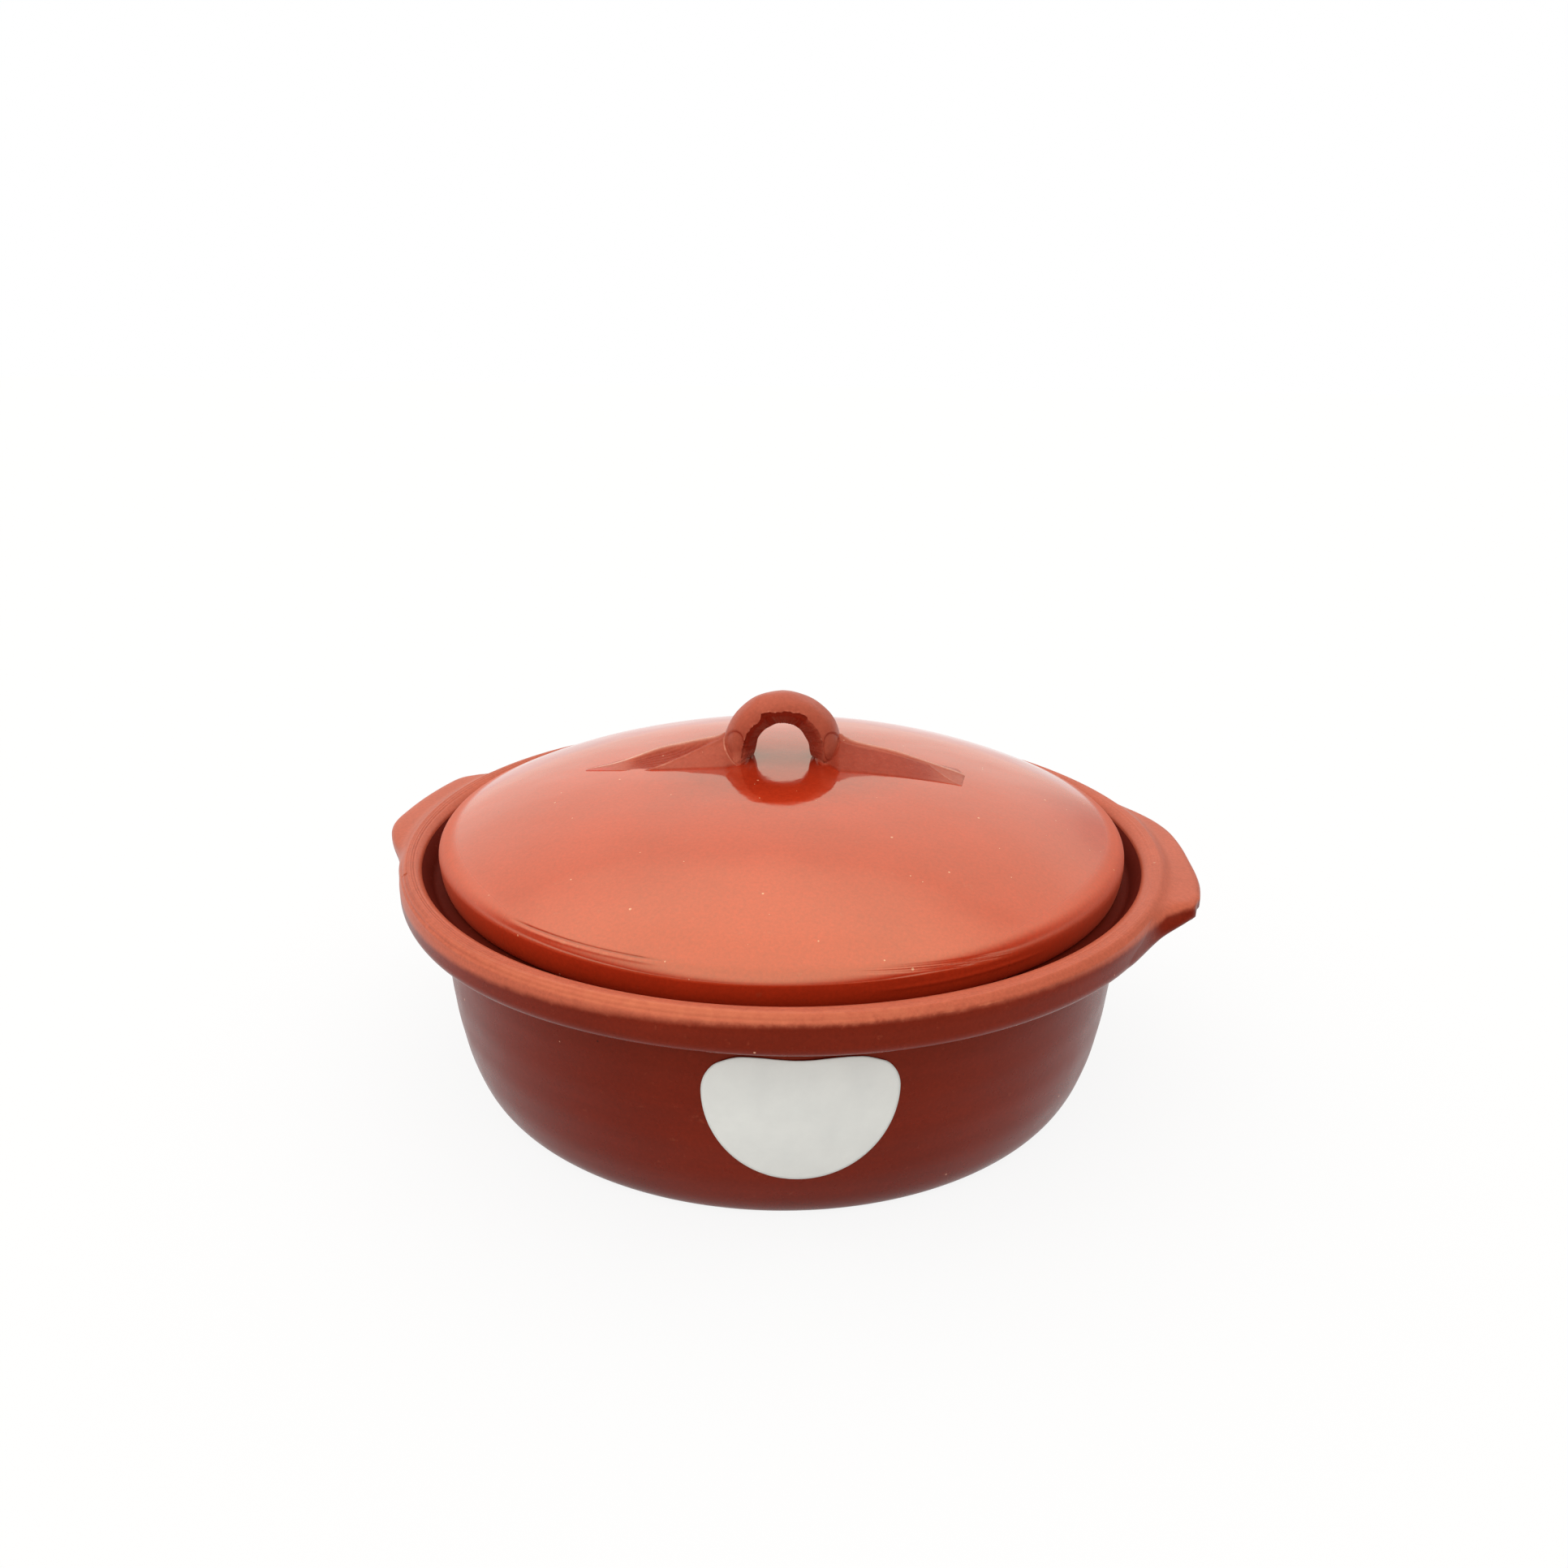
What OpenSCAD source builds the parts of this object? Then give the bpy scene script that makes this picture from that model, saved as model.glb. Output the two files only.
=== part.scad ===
// Low earthenware casserole with a domed lid.
// The pot stands on z = 0 with its axis on Z and its two lugs along X.

/* [Pot] */
// Outside diameter of the rim
rim_d = 280; // [240:1:320]
// Height of the pot, from the table to the crown of the rim
pot_h = 84; // [74:1:120]
// Height of the rim band on the outside
rim_h = 13; // [11:0.5:18]
// Width of the rim, from its outside to the lip above the gallery
rim_w = 9; // [7:0.5:14]
// Drop from the crown of the rim to its inner lip
lip_drop = 2.6; // [1:0.1:4]
// Rounding of the lower edge of the rim
rim_edge = 2.4; // [0.5:0.1:4]
// Rounding where the wall runs out under the rim
neck_round = 6; // [2:0.5:9]
// Thickness of the wall
wall_t = 7; // [5:0.5:10]
// Thickness of the base
base_t = 8; // [5:0.5:14]
// How far the outside draws in from the wall to the base
base_draw = 13; // [6:0.5:30]
// How far the inside draws in from the wall to the floor
floor_draw = 20; // [10:0.5:40]

/* [Gallery] */
// Depth of the ledge below the crown of the rim
gallery_depth = 8; // [6:0.5:9.5]
// Width of the ledge that carries the lid
ledge_w = 9; // [7:0.5:14]
// How far the gallery wall leans in from the lip to the ledge
gallery_lean = 4; // [2:0.5:6]
// Rounding in the corner of the gallery
gallery_round = 2; // [0.5:0.1:3]
// Rounding of the inner edge of the ledge
ledge_round = 2; // [0.5:0.1:3]

/* [Lugs] */
// How far each lug stands out from the rim
lug_reach = 11; // [6:0.5:25]
// Angle of the rim that each lug takes up at its root
lug_root_span = 46; // [34:1:60]
// Angle of the full-width outer edge of each lug
lug_tip_span = 24; // [10:1:30]
// Thickness of the outer edge of each lug
lug_tip_t = 5; // [3:0.5:7]
// Drop from the crown of the rim to the middle of the outer edge
lug_tip_drop = 4.8; // [3.5:0.1:9]
// Angle of the left lug round the rim, from the right one
left_lug_a = 177; // [165:0.5:195]

/* [Lid] */
// Gap all round between the edge of the lid and the lip of the rim
lid_gap = 6.2; // [4:0.1:8]
// Clearance between the lid and the ledge that it rests on
seat_gap = 0.3; // [0.1:0.1:0.6]
// Width of the flat seat under the edge of the lid
seat_w = 8; // [6:0.5:14]
// Height from the seat to the widest part of the edge
edge_h = 9.3; // [6:0.1:14]
// How far the edge draws in from its widest part to the seat
edge_tuck = 2.5; // [1:0.1:4]
// Rounding of the upper edge of the lid
edge_round = 5.4; // [3:0.1:8]
// Rise of the dome above its rounded edge
dome_rise = 21.9; // [12:0.1:40]
// Fullness of the dome, where 2 is a plain bowl and more is flatter on top
dome_power = 2.75; // [2:0.05:4]
// Thickness of the lid
lid_t = 7; // [5:0.5:9]

/* [Loop] */
// Radius of the arch, at the middle of the clay
loop_r = 15.8; // [13:0.1:24]
// Thickness of the clay across the arch
loop_t = 11.8; // [8:0.1:14]
// Depth of the clay, from front to back
loop_depth = 18; // [10:0.5:26]
// Height of the arch's centre above the top of the dome
loop_lift = 3.3; // [1:0.1:12]
// Angle of the loop from the line through the lugs
loop_yaw = 7.5; // [-45:0.5:45]
// Height of each root where it meets the loop
root_h = 9.5; // [6:0.1:12]
// Width of each root where it meets the loop
root_w = 23; // [14:0.5:30]
// How far the middle of a root's width lies in front of its crest
root_lean = 3.3; // [0:0.1:6]
// How much further each root spreads to the front towards its tip
root_spread = 1.5; // [0:0.5:6]
// How far the tip of each root lies in front of the middle of the loop
root_drift = 4.5; // [0:0.5:9]
// How far each root reaches in under its foot, from the middle of the foot
root_toe = 4; // [2:0.5:5]
// Length of the left root from the middle of its foot
left_root_l = 58; // [40:1:75]
// Length of the right root from the middle of its foot
right_root_l = 50; // [40:1:75]

/* [Label] */
// Width of the paper label
label_w = 59; // [40:1:80]
// Height of the label above its widest line
label_rise = 12.5; // [8:0.5:18]
// Height of the label below its widest line
label_fall = 32; // [20:0.5:34]
// Gap between the top of the label and the start of the rounding under the rim
label_tuck = 2.5; // [0.5:0.1:8]
// Thickness of the paper
label_t = 0.2; // [0.1:0.05:0.4]
// Layer of glue between the paper and the wall
glue_t = 0.05; // [0.02:0.01:0.1]
// Angle of the label round the pot
label_a = -77; // [-140:0.5:-40]

/* [Hidden] */
$fn = 128;

body_color = "#7c3527";
rim_color = "#a8452f";
lid_color = "#c8634a";
loop_color = "#b4573f";
paper_color = "#e6e7e2";

// Radii and heights of the pot, from the outside in and from the top down
rim_r = rim_d / 2;
lip_r = rim_r - rim_w;
crown_r = rim_r - rim_w / 2;
gallery_r = lip_r - gallery_lean;
ledge_r = gallery_r - ledge_w;
wall_r = ledge_r + wall_t;
base_r = wall_r - base_draw;
floor_r = ledge_r - floor_draw;
lip_z = pot_h - lip_drop;
crown_drop = rim_h / 2;
ledge_z = pot_h - gallery_depth;
under_z = pot_h - rim_h;
neck_z = under_z - neck_round;

// Radii and heights of the lid
lid_r = lip_r - lid_gap;
seat_z = ledge_z + seat_gap;
seat_r = lid_r - edge_tuck - seat_w;
edge_z = seat_z + edge_h;
shoulder_a = atan(lid_r / (dome_rise * dome_power));
shoulder_r = lid_r - edge_round * (1 - cos(shoulder_a));
shoulder_z = edge_z + edge_round * sin(shoulder_a);
apex_z = shoulder_z + dome_rise;
// The inside of the edge leans in by half its seat on the way up to the dome
hollow_r = seat_r - seat_w / 2;

// Depth to which joined clay is formed into its neighbour before it is trimmed to it
bite = 2;
// Depth of a root's skirt below the dome, so that its sides meet the dome at an angle
skirt = 0.4;
// Power of the curve across a root, where 1 is a sharp ridge and 2 is a round one
ridge_power = 1.1;
// Power of the crest's fall from the loop to the tip, where 1 is straight and less is fuller
crest_power = 0.85;
// Powers by which a root drifts to the front and narrows towards its tip
drift_power = 1.5;
taper_power = 2.6;
// Share of its width that each root still has at its tip, which is pointed on the left and blunt on the right
left_root_tip = 0.04;
right_root_tip = 0.75;
// Angle of a root's round toe at which its first ring stands
toe_a = 75;
// Angles round the loop's section between which its front inner corner is cut off flat
loop_cut_from = 88;
loop_cut_to = 172;
// Share of the lug's root that lies inside the rim
lug_sink = rim_w / 4;
// Angle at which the lug's rounded edge runs into its flat faces
lug_tip_a = 80;

// Steps along the long curves, the roundings, the lugs and the roots
wall_steps = 24;
dome_steps = 32;
round_steps = 8;
loop_sides = 28;
lug_steps = 28;
root_steps = 14;
root_sides = 12;
toe_steps = 5;

// Points of an elliptical arc about c, from angle a to angle b
function arc(c, rx, ry, a, b, n) =
    [for (i = [0 : n]) let (t = a + (b - a) * i / n) c + [rx * cos(t), ry * sin(t)]];

function unit(v) = v / norm(v);

// Arc of radius r that rounds corner b, between its neighbours a and c
function corner(a, b, c, r) =
    let (u = unit(a - b),
         v = unit(c - b),
         half = acos(u * v) / 2,
         hub = b + unit(u + v) * r / sin(half),
         from = b + u * r / tan(half) - hub,
         to = b + v * r / tan(half) - hub,
         turn = 180 - 2 * half)
    [for (i = [0 : round_steps]) let (t = turn * i / round_steps)
        hub + (from * sin(turn - t) + to * sin(t)) / sin(turn)];

function flat(lists) = [for (list = lists) for (item = list) item];

function reversed(list) = [for (i = [len(list) - 1 : -1 : 0]) list[i]];

// Outside of the pot's wall, from the base to the neck
function wall_curve(out = 0) = arc([base_r + out, neck_z], base_draw, neck_z, -90, 0, wall_steps);

// Outside of the rim, from its lower edge to its crown
function rim_face() = concat(
    arc([rim_r - rim_edge, under_z + rim_edge], rim_edge, rim_edge, -90, 0, round_steps),
    arc([crown_r, pot_h - crown_drop], rim_r - crown_r, crown_drop, 0, 90, round_steps));

// Inside of the rim and the gallery, from the crown down to the inner edge of the ledge
function gallery_curve() =
    let (lip = [lip_r, lip_z],
         foot = [gallery_r, ledge_z],
         edge = [ledge_r, ledge_z],
         wall = [ledge_r, neck_z])
    concat(arc([crown_r, lip_z], crown_r - lip_r, lip_drop, 90, 180, round_steps),
           corner(lip, foot, edge, gallery_round),
           corner(foot, edge, wall, ledge_round));

function pot_profile() = concat(
    [[0, 0]],
    wall_curve(),
    arc([wall_r + neck_round, neck_z], neck_round, neck_round, 180, 90, round_steps),
    rim_face(),
    gallery_curve(),
    arc([floor_r, neck_z], floor_draw, neck_z - base_t, 0, -90, wall_steps),
    [[0, base_t]]);

// Height of the top of the lid at radius r
function dome_z(r) = apex_z - dome_rise * pow(r / shoulder_r, dome_power);

// Dome from radius r to the axis, lowered by drop
function dome_curve(r, drop = 0) =
    [for (i = [dome_steps : -1 : 0]) let (q = r * i / dome_steps) [q, dome_z(q) - drop]];

function lid_profile() = concat(
    arc([lid_r - edge_tuck, edge_z], edge_tuck, edge_h, -90, 0, round_steps),
    arc([lid_r - edge_round, edge_z], edge_round, edge_round, 0, shoulder_a, round_steps),
    dome_curve(shoulder_r),
    reversed(dome_curve(hollow_r, lid_t)),
    [[seat_r, seat_z]]);

// Closed surface through rings of points that all have the same count
module loft(rings) {
    sides = len(rings[0]);
    last = len(rings) - 1;
    skin = [for (i = [0 : last - 1]) for (j = [0 : sides - 1])
        let (a = i * sides + j, b = i * sides + (j + 1) % sides)
        each [[a, a + sides, b], [b, a + sides, b + sides]]];
    start = [for (j = [0 : sides - 1]) j];
    end = [for (j = [sides - 1 : -1 : 0]) last * sides + j];
    polyhedron(flat(rings), concat(skin, [start, end]));
}

// Solid under the top of the dome, which trims what stands on the lid
module dome_block() {
    rotate_extrude() polygon(concat(dome_curve(shoulder_r), [[0, seat_z], [shoulder_r, seat_z]]));
}

module pot_body() color(body_color) rotate_extrude() polygon(pot_profile());

// Share of the full reach that a lug has at angle a from its middle
function lug_share(a) =
    let (root = lug_root_span / 2, tip = lug_tip_span / 2)
    a <= tip ? 1 : (1 + cos(180 * (a - tip) / (root - tip))) / 2;

// Section of a lug at a share of its reach, from the middle of the rim round the outer edge and
// back underneath. The edge thickens towards the ends of the lug, where it runs into the rim band.
function lug_section(share) =
    let (out = (lug_reach + lug_sink) * share - lug_sink,
         drop = lug_tip_drop * share + rim_h / 2 * (1 - share),
         half = lug_tip_t / 2 * share + (rim_h / 2 - rim_edge) * (1 - share))
    concat([[crown_r, pot_h - rim_edge]],
           arc([rim_r + out - lug_tip_t / 2, pot_h - drop], lug_tip_t / 2, half,
               lug_tip_a, -lug_tip_a, round_steps),
           [[crown_r, under_z + rim_edge]]);

function lug_ring(a) =
    [for (p = lug_section(lug_share(abs(a)))) [p[0] * cos(a), p[0] * sin(a), p[1]]];

module lug() {
    difference() {
        loft([for (i = [0 : lug_steps]) lug_ring(lug_root_span * (i / lug_steps - 0.5))]);
        rotate_extrude() polygon(concat(rim_face(), [[crown_r - bite, pot_h], [crown_r - bite, under_z]]));
    }
}

module right_lug() color(rim_color) lug();

module left_lug() color(rim_color) rotate([0, 0, left_lug_a]) lug();

// Rounded shield: a half ellipse below the widest line, round shoulders and a straight top
function label_outline() =
    let (shoulder = label_w / 2 - label_rise)
    concat(arc([0, 0], label_w / 2, label_fall, 180, 360, wall_steps),
           arc([shoulder, 0], label_rise, label_rise, 0, 90, round_steps),
           arc([-shoulder, 0], label_rise, label_rise, 90, 180, round_steps));

module paper_label() {
    label_z = neck_z - label_tuck - label_rise;
    color(paper_color)
    rotate([0, 0, label_a])
    intersection() {
        rotate_extrude() polygon(concat(wall_curve(glue_t + label_t), reversed(wall_curve(glue_t))));
        rotate([90, 0, 90]) linear_extrude(rim_r) translate([0, label_z]) polygon(label_outline());
    }
}

module lid_dome() color(lid_color) rotate_extrude() polygon(lid_profile());

// Oval section of the loop, with +Y to the front, whose front inner corner is cut off flat
module loop_section() {
    polygon(arc([loop_r, 0], loop_t / 2, loop_depth / 2, loop_cut_to, 360 + loop_cut_from, loop_sides));
}

// Arch on two straight legs that run down into the dome
module loop_form() {
    translate([0, 0, apex_z + loop_lift]) rotate([90, 0, 0]) rotate_extrude(angle = 180) loop_section();
    for (side = [1, -1])
        translate([0, 0, apex_z - bite]) linear_extrude(loop_lift + bite) scale([side, -1]) loop_section();
}

module lid_loop() {
    color(loop_color)
    rotate([0, 0, loop_yaw])
    difference() {
        loop_form();
        dome_block();
    }
}

// Ring of a root at share s of its length, at a distance out from the middle of its foot: a ridge that is wide to
// the front, which is -Y, with its skirt in the dome. swell makes the ring smaller.
function root_ring(out, s, tip, swell) =
    let (x = loop_r + out,
         full = swell * (1 - (1 - tip) * pow(s, taper_power)),
         crest = -root_drift * pow(s, drift_power),
         ahead = full * (root_w / 2 + root_lean + root_spread * s),
         behind = full * (root_w / 2 - root_lean),
         h = swell * root_h * pow(1 - s, crest_power) + skirt,
         ridge = [for (j = [0 : root_sides])
             let (q = 2 * j / root_sides - 1, y = crest + q * (q < 0 ? ahead : behind))
             [x, y, dome_z(norm([x, y])) - skirt + h * (1 - pow(abs(q), ridge_power))]],
         under = [for (p = [ridge[root_sides], ridge[0]]) [x, p[1], dome_z(norm([x, p[1]])) - skirt - bite]])
    concat(ridge, under);

// Root of length l with a round toe under the loop's foot
module root(l, tip) {
    difference() {
        loft(concat(
            [for (i = [toe_steps : -1 : 1]) let (a = toe_a * i / toe_steps)
                root_ring(-root_toe * sin(a), 0, tip, cos(a))],
            [for (i = [0 : root_steps]) let (s = i / root_steps) root_ring(l * s, s, tip, 1)]));
        dome_block();
        loop_form();
    }
}

module right_loop_root() color(loop_color) rotate([0, 0, loop_yaw]) root(right_root_l, right_root_tip);

module left_loop_root() {
    color(loop_color) rotate([0, 0, loop_yaw]) mirror([1, 0, 0]) root(left_root_l, left_root_tip);
}

pot_body();
left_lug();
right_lug();
paper_label();
lid_dome();
lid_loop();
left_loop_root();
right_loop_root();
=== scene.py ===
"""Looks of a low earthenware casserole with a domed lid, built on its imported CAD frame.

Every piece of clay and the paper label is a mesh of its own that stands for one CAD node. Lengths in the
shape code are in millimetres and angles in degrees. The pot's axis is Z, the lugs lie along X, and the
photo's camera stands towards -Y.
"""

import math
from typing import NamedTuple

import bmesh
import bpy
import numpy as np
from mathutils import Matrix, Vector


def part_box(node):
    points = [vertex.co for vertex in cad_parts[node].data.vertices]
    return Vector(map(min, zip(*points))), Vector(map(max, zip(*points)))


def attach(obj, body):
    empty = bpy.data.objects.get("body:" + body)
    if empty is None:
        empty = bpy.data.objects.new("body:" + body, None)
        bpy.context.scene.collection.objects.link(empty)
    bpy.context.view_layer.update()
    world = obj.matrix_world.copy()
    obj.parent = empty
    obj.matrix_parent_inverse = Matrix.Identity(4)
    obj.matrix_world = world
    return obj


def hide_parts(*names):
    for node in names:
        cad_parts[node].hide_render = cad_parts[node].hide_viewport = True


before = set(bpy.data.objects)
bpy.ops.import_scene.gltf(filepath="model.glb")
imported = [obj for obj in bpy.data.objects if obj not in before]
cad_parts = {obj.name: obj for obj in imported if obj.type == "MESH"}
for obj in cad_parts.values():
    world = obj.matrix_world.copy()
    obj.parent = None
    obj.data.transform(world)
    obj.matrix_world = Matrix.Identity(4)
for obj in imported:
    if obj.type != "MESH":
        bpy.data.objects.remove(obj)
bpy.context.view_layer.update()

MM = 0.001
# Tolerances, in millimetres, for points that lie on a limit and for those that lie close to it
HAIR = 0.01
NEAR = 0.1


def corners_mm(node):
    """Lowest and highest corner of a CAD node, in millimetres."""
    return [np.array(corner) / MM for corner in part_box(node)]


lid_low, lid_high = corners_mm("lid_dome")
pot_high, loop_high, label_high = (corners_mm(node)[1] for node in ("pot_body", "lid_loop", "paper_label"))

# Pot
RIM_R = pot_high[0]
POT_H = pot_high[2]
RIM_H = 13.0
RIM_W = 9.0
CROWN_BACK = 3.0
LIP_DROP = 2.6
RIM_EDGE_W = 2.4
RIM_EDGE_H = 3.6
NECK_ROUND = 6.0
WALL_T = 7.0
BASE_T = 8.0
BASE_DRAW = 13.0
FLOOR_DRAW = 20.0
GALLERY_DEPTH = 8.0
LEDGE_W = 9.0
GALLERY_LEAN = 4.0
GALLERY_ROUND = 2.0
LEDGE_ROUND = 2.0
FOOT_ROUND = 1.2

LIP_R = RIM_R - RIM_W
CROWN_R = RIM_R - CROWN_BACK
MID_RIM_R = RIM_R - RIM_W / 2
GALLERY_R = LIP_R - GALLERY_LEAN
LEDGE_R = GALLERY_R - LEDGE_W
WALL_R = LEDGE_R + WALL_T
BASE_R = WALL_R - BASE_DRAW
FLOOR_R = LEDGE_R - FLOOR_DRAW
LIP_Z = POT_H - LIP_DROP
CROWN_DROP = RIM_H / 2
LEDGE_Z = POT_H - GALLERY_DEPTH
UNDER_Z = POT_H - RIM_H
NECK_Z = UNDER_Z - NECK_ROUND

# Lugs
LUG_REACH = 11.0
LUG_T = 5.0
LUG_ROOT_T = 7.3
LUG_DROP = 4.8
LUG_ROOT_DROP = 7.35
LUG_BLEND = 4.0
LUG_END_BLEND = 0.2
LUG_SINK = 0.2
LUG_ROOT_SINK = 0.8
LUG_RUN_OUT = 7.0
LUG_EDGE = 2.45
LUG_ROOT_EDGE = 1.8
LUG_BEVEL_FROM, LUG_BEVEL_RUN = 11.0, 5.0
LUG_BEVEL_FOOT = 1.2
LUG_BEVEL_ROUND = 2.2
LUG_SLIM = (-8.0, 12.0)

# Lid
LID_R = lid_high[0]
SEAT_Z = lid_low[2]
APEX_Z = lid_high[2]
SEAT_W = 8.0
EDGE_H = 9.3
EDGE_TUCK = 2.5
EDGE_ROUND = 5.4
DOME_RISE = 21.9
DOME_POWER = 2.75
LID_T = 7.0
SEAT_R = LID_R - EDGE_TUCK - SEAT_W
HOLLOW_R = SEAT_R - SEAT_W / 2
EDGE_Z = SEAT_Z + EDGE_H
SHOULDER_A = math.degrees(math.atan(LID_R / (DOME_RISE * DOME_POWER)))
SHOULDER_R = LID_R - EDGE_ROUND * (1 - math.cos(math.radians(SHOULDER_A)))
EDGE_RUN = math.radians(SHOULDER_A) * EDGE_ROUND

# Loop and roots
LOOP_T = 11.8
LOOP_DEPTH = 18.0
LOOP_R = 15.8
LOOP_YAW = 7.5
LOOP_Z = loop_high[2] - LOOP_R - LOOP_T / 2
LOOP_BITE = 3.0
ROOT_H = 9.5
ROOT_W = 23.0
ROOT_LEAN = 3.3
ROOT_SPREAD = 1.5
ROOT_DRIFT = 4.5
ROOT_TOE = 4.0
RIDGE_POWER = 1.1
CREST_POWER = 0.85
DRIFT_POWER = 1.5
TAPER_POWER = 2.6

# Label
LABEL_W = 59.0
LABEL_RISE = 12.5
LABEL_FALL = 32.0
LABEL_A = -77.0
LABEL_Z = label_high[2] - LABEL_RISE
LABEL_T = 0.2
LABEL_GLUE = 0.05


def arc(cx, cz, rx, rz, start, end, steps):
    """Points of an elliptical arc about (cx, cz), from angle start to angle end."""
    t = np.radians(np.linspace(start, end, steps + 1))
    return np.column_stack([cx + rx * np.cos(t), cz + rz * np.sin(t)])


def line(a, b, steps):
    """Points from a to b, without b."""
    t = np.arange(steps)[:, None] / steps
    return np.array(a, float) * (1 - t) + np.array(b, float) * t


def rounded(a, b, c, radius, steps):
    """Arc that rounds corner b between its neighbours a and c."""
    a, b, c = (np.array(p, float) for p in (a, b, c))
    u = (a - b) / np.linalg.norm(a - b)
    v = (c - b) / np.linalg.norm(c - b)
    half = math.acos(float(u @ v)) / 2
    hub = b + (u + v) / np.linalg.norm(u + v) * radius / math.sin(half)
    start = b + u * radius / math.tan(half) - hub
    end = b + v * radius / math.tan(half) - hub
    turn = math.pi - 2 * half
    t = np.linspace(0, turn, steps + 1)[:, None]
    return hub + (start * np.sin(turn - t) + end * np.sin(t)) / math.sin(turn)


def smoothstep(x):
    x = np.clip(x, 0, 1)
    return x * x * (3 - 2 * x)


def ramp(value, start, run):
    """Soft step from 0 at the start to 1 at the end of a run."""
    return smoothstep((value - start) / run)


def bell(x, width):
    return np.exp(-(x / width) ** 2)


def off_degrees(angle, at):
    """Signed difference in degrees between angles in radians and a direction in degrees."""
    return (np.degrees(angle) - at + 180) % 360 - 180


def span(value, low, high, soft):
    """1 from low to high, with soft ends."""
    return smoothstep((value - low) / soft + 0.5) * smoothstep((high - value) / soft + 0.5)


def ripple(angle, waves, seed):
    """Smooth wave round a circle, about -1 to 1, made of the given numbers of waves per turn."""
    rng = np.random.default_rng(seed)
    total = np.zeros_like(angle)
    for count in waves:
        total = total + rng.uniform(0.5, 1) * np.sin(count * angle + rng.uniform(0, 2 * math.pi))
    return total / math.sqrt(len(waves))


def piece(name, points, faces, body, node, slot, material, **marks):
    """Smooth mesh object from points in millimetres. It rides on a body and stands for a CAD node.

    Each mark has a value for every point of a capped surface's rings, and the material reads it by its name.
    """
    mesh = bpy.data.meshes.new(name)
    mesh.from_pydata((np.asarray(points) * MM).tolist(), [], faces)
    mesh.validate()
    form = bmesh.new()
    form.from_mesh(mesh)
    bmesh.ops.recalc_face_normals(form, faces=form.faces)
    form.to_mesh(mesh)
    form.free()
    mesh.shade_smooth()
    for key, values in marks.items():
        layer = mesh.attributes.new(key, "FLOAT", "POINT")
        ends = [values[0].mean(), values[-1].mean()]
        layer.data.foreach_set("value", np.concatenate([values.ravel(), ends]).astype(np.float32))
    obj = bpy.data.objects.new(name, mesh)
    bpy.context.scene.collection.objects.link(obj)
    mesh.materials.append(material)
    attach(obj, body)
    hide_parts(node)
    return obj


def grid_faces(rows, columns):
    """Quads over closed rows of points."""
    faces = []
    for i in range(rows - 1):
        for j in range(columns):
            k = (j + 1) % columns
            faces.append((i * columns + j, i * columns + k, (i + 1) * columns + k, (i + 1) * columns + j))
    return faces


def capped(rings, first, last):
    """Points and faces of a closed surface through rings, with a fan to a point at each end."""
    rows, columns = rings.shape[:2]
    points = np.vstack([rings.reshape(-1, 3), [first], [last]])
    faces = grid_faces(rows, columns)
    start, end, base = rows * columns, rows * columns + 1, (rows - 1) * columns
    for j in range(columns):
        k = (j + 1) % columns
        faces.append((start, k, j))
        faces.append((end, base + j, base + k))
    return points, faces


def closed_loft(rings):
    """Points and faces of a closed surface through rings, each end capped round its middle."""
    return capped(rings, rings[0].mean(0), rings[-1].mean(0))


def turned(profile, segments):
    """Angles, radii and heights of an open profile's points round the axis, without its two ends."""
    angle = np.linspace(0, 2 * math.pi, segments, endpoint=False)
    r, z = (np.repeat(profile[1:-1, k:k + 1], segments, 1) for k in (0, 1))
    return np.repeat(angle[None, :], len(r), 0), r, z


def revolve(profile, segments, shift):
    """Surface of revolution of an open profile that starts and ends on the axis.

    shift(angle, r, z) gives how far each point moves along its normal, outwards and upwards.
    """
    tangent = np.gradient(profile, axis=0)
    tangent /= np.linalg.norm(tangent, axis=1)[:, None] + 1e-9
    angle, r, z = turned(profile, segments)
    along, out, up = shift(angle, r, z)
    r = r + tangent[1:-1, 1:] * along + out
    z = z - tangent[1:-1, :1] * along + up
    rings = np.stack([r * np.cos(angle), r * np.sin(angle), z], -1)
    return capped(rings, (0, 0, profile[0, 1]), (0, 0, profile[-1, 1]))


def wall_r(z):
    """Radius of the outside of the wall at height z."""
    return BASE_R + BASE_DRAW * np.sqrt(np.clip(1 - ((NECK_Z - z) / NECK_Z) ** 2, 0, 1))


# Hand-made unevenness of the thrown rim: it sways in and out and waves up and down round the pot, and it was
# pushed in at one place and pulled up at another, each given by direction, spread and distance
RIM_SWAY = 0.35
RIM_WAVE = 0.3
RIM_PUSH = (205.0, 30.0, -0.8)
RIM_PULL = (140.0, 35.0, 1.2)


def rim_share(z):
    """Share of the rim's unevenness at height z, from 0 at mid-wall to 1 at the rim."""
    return smoothstep((z - UNDER_Z / 2) / (UNDER_Z / 2))


def rim_out(angle):
    at, spread, push = RIM_PUSH
    return RIM_SWAY * ripple(angle, (2, 3, 5), 11) + push * bell(off_degrees(angle, at), spread)


def rim_up(angle):
    at, spread, pull = RIM_PULL
    return RIM_WAVE * ripple(angle, (2, 3, 4, 7), 12) + pull * bell(off_degrees(angle, at), spread)


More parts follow.
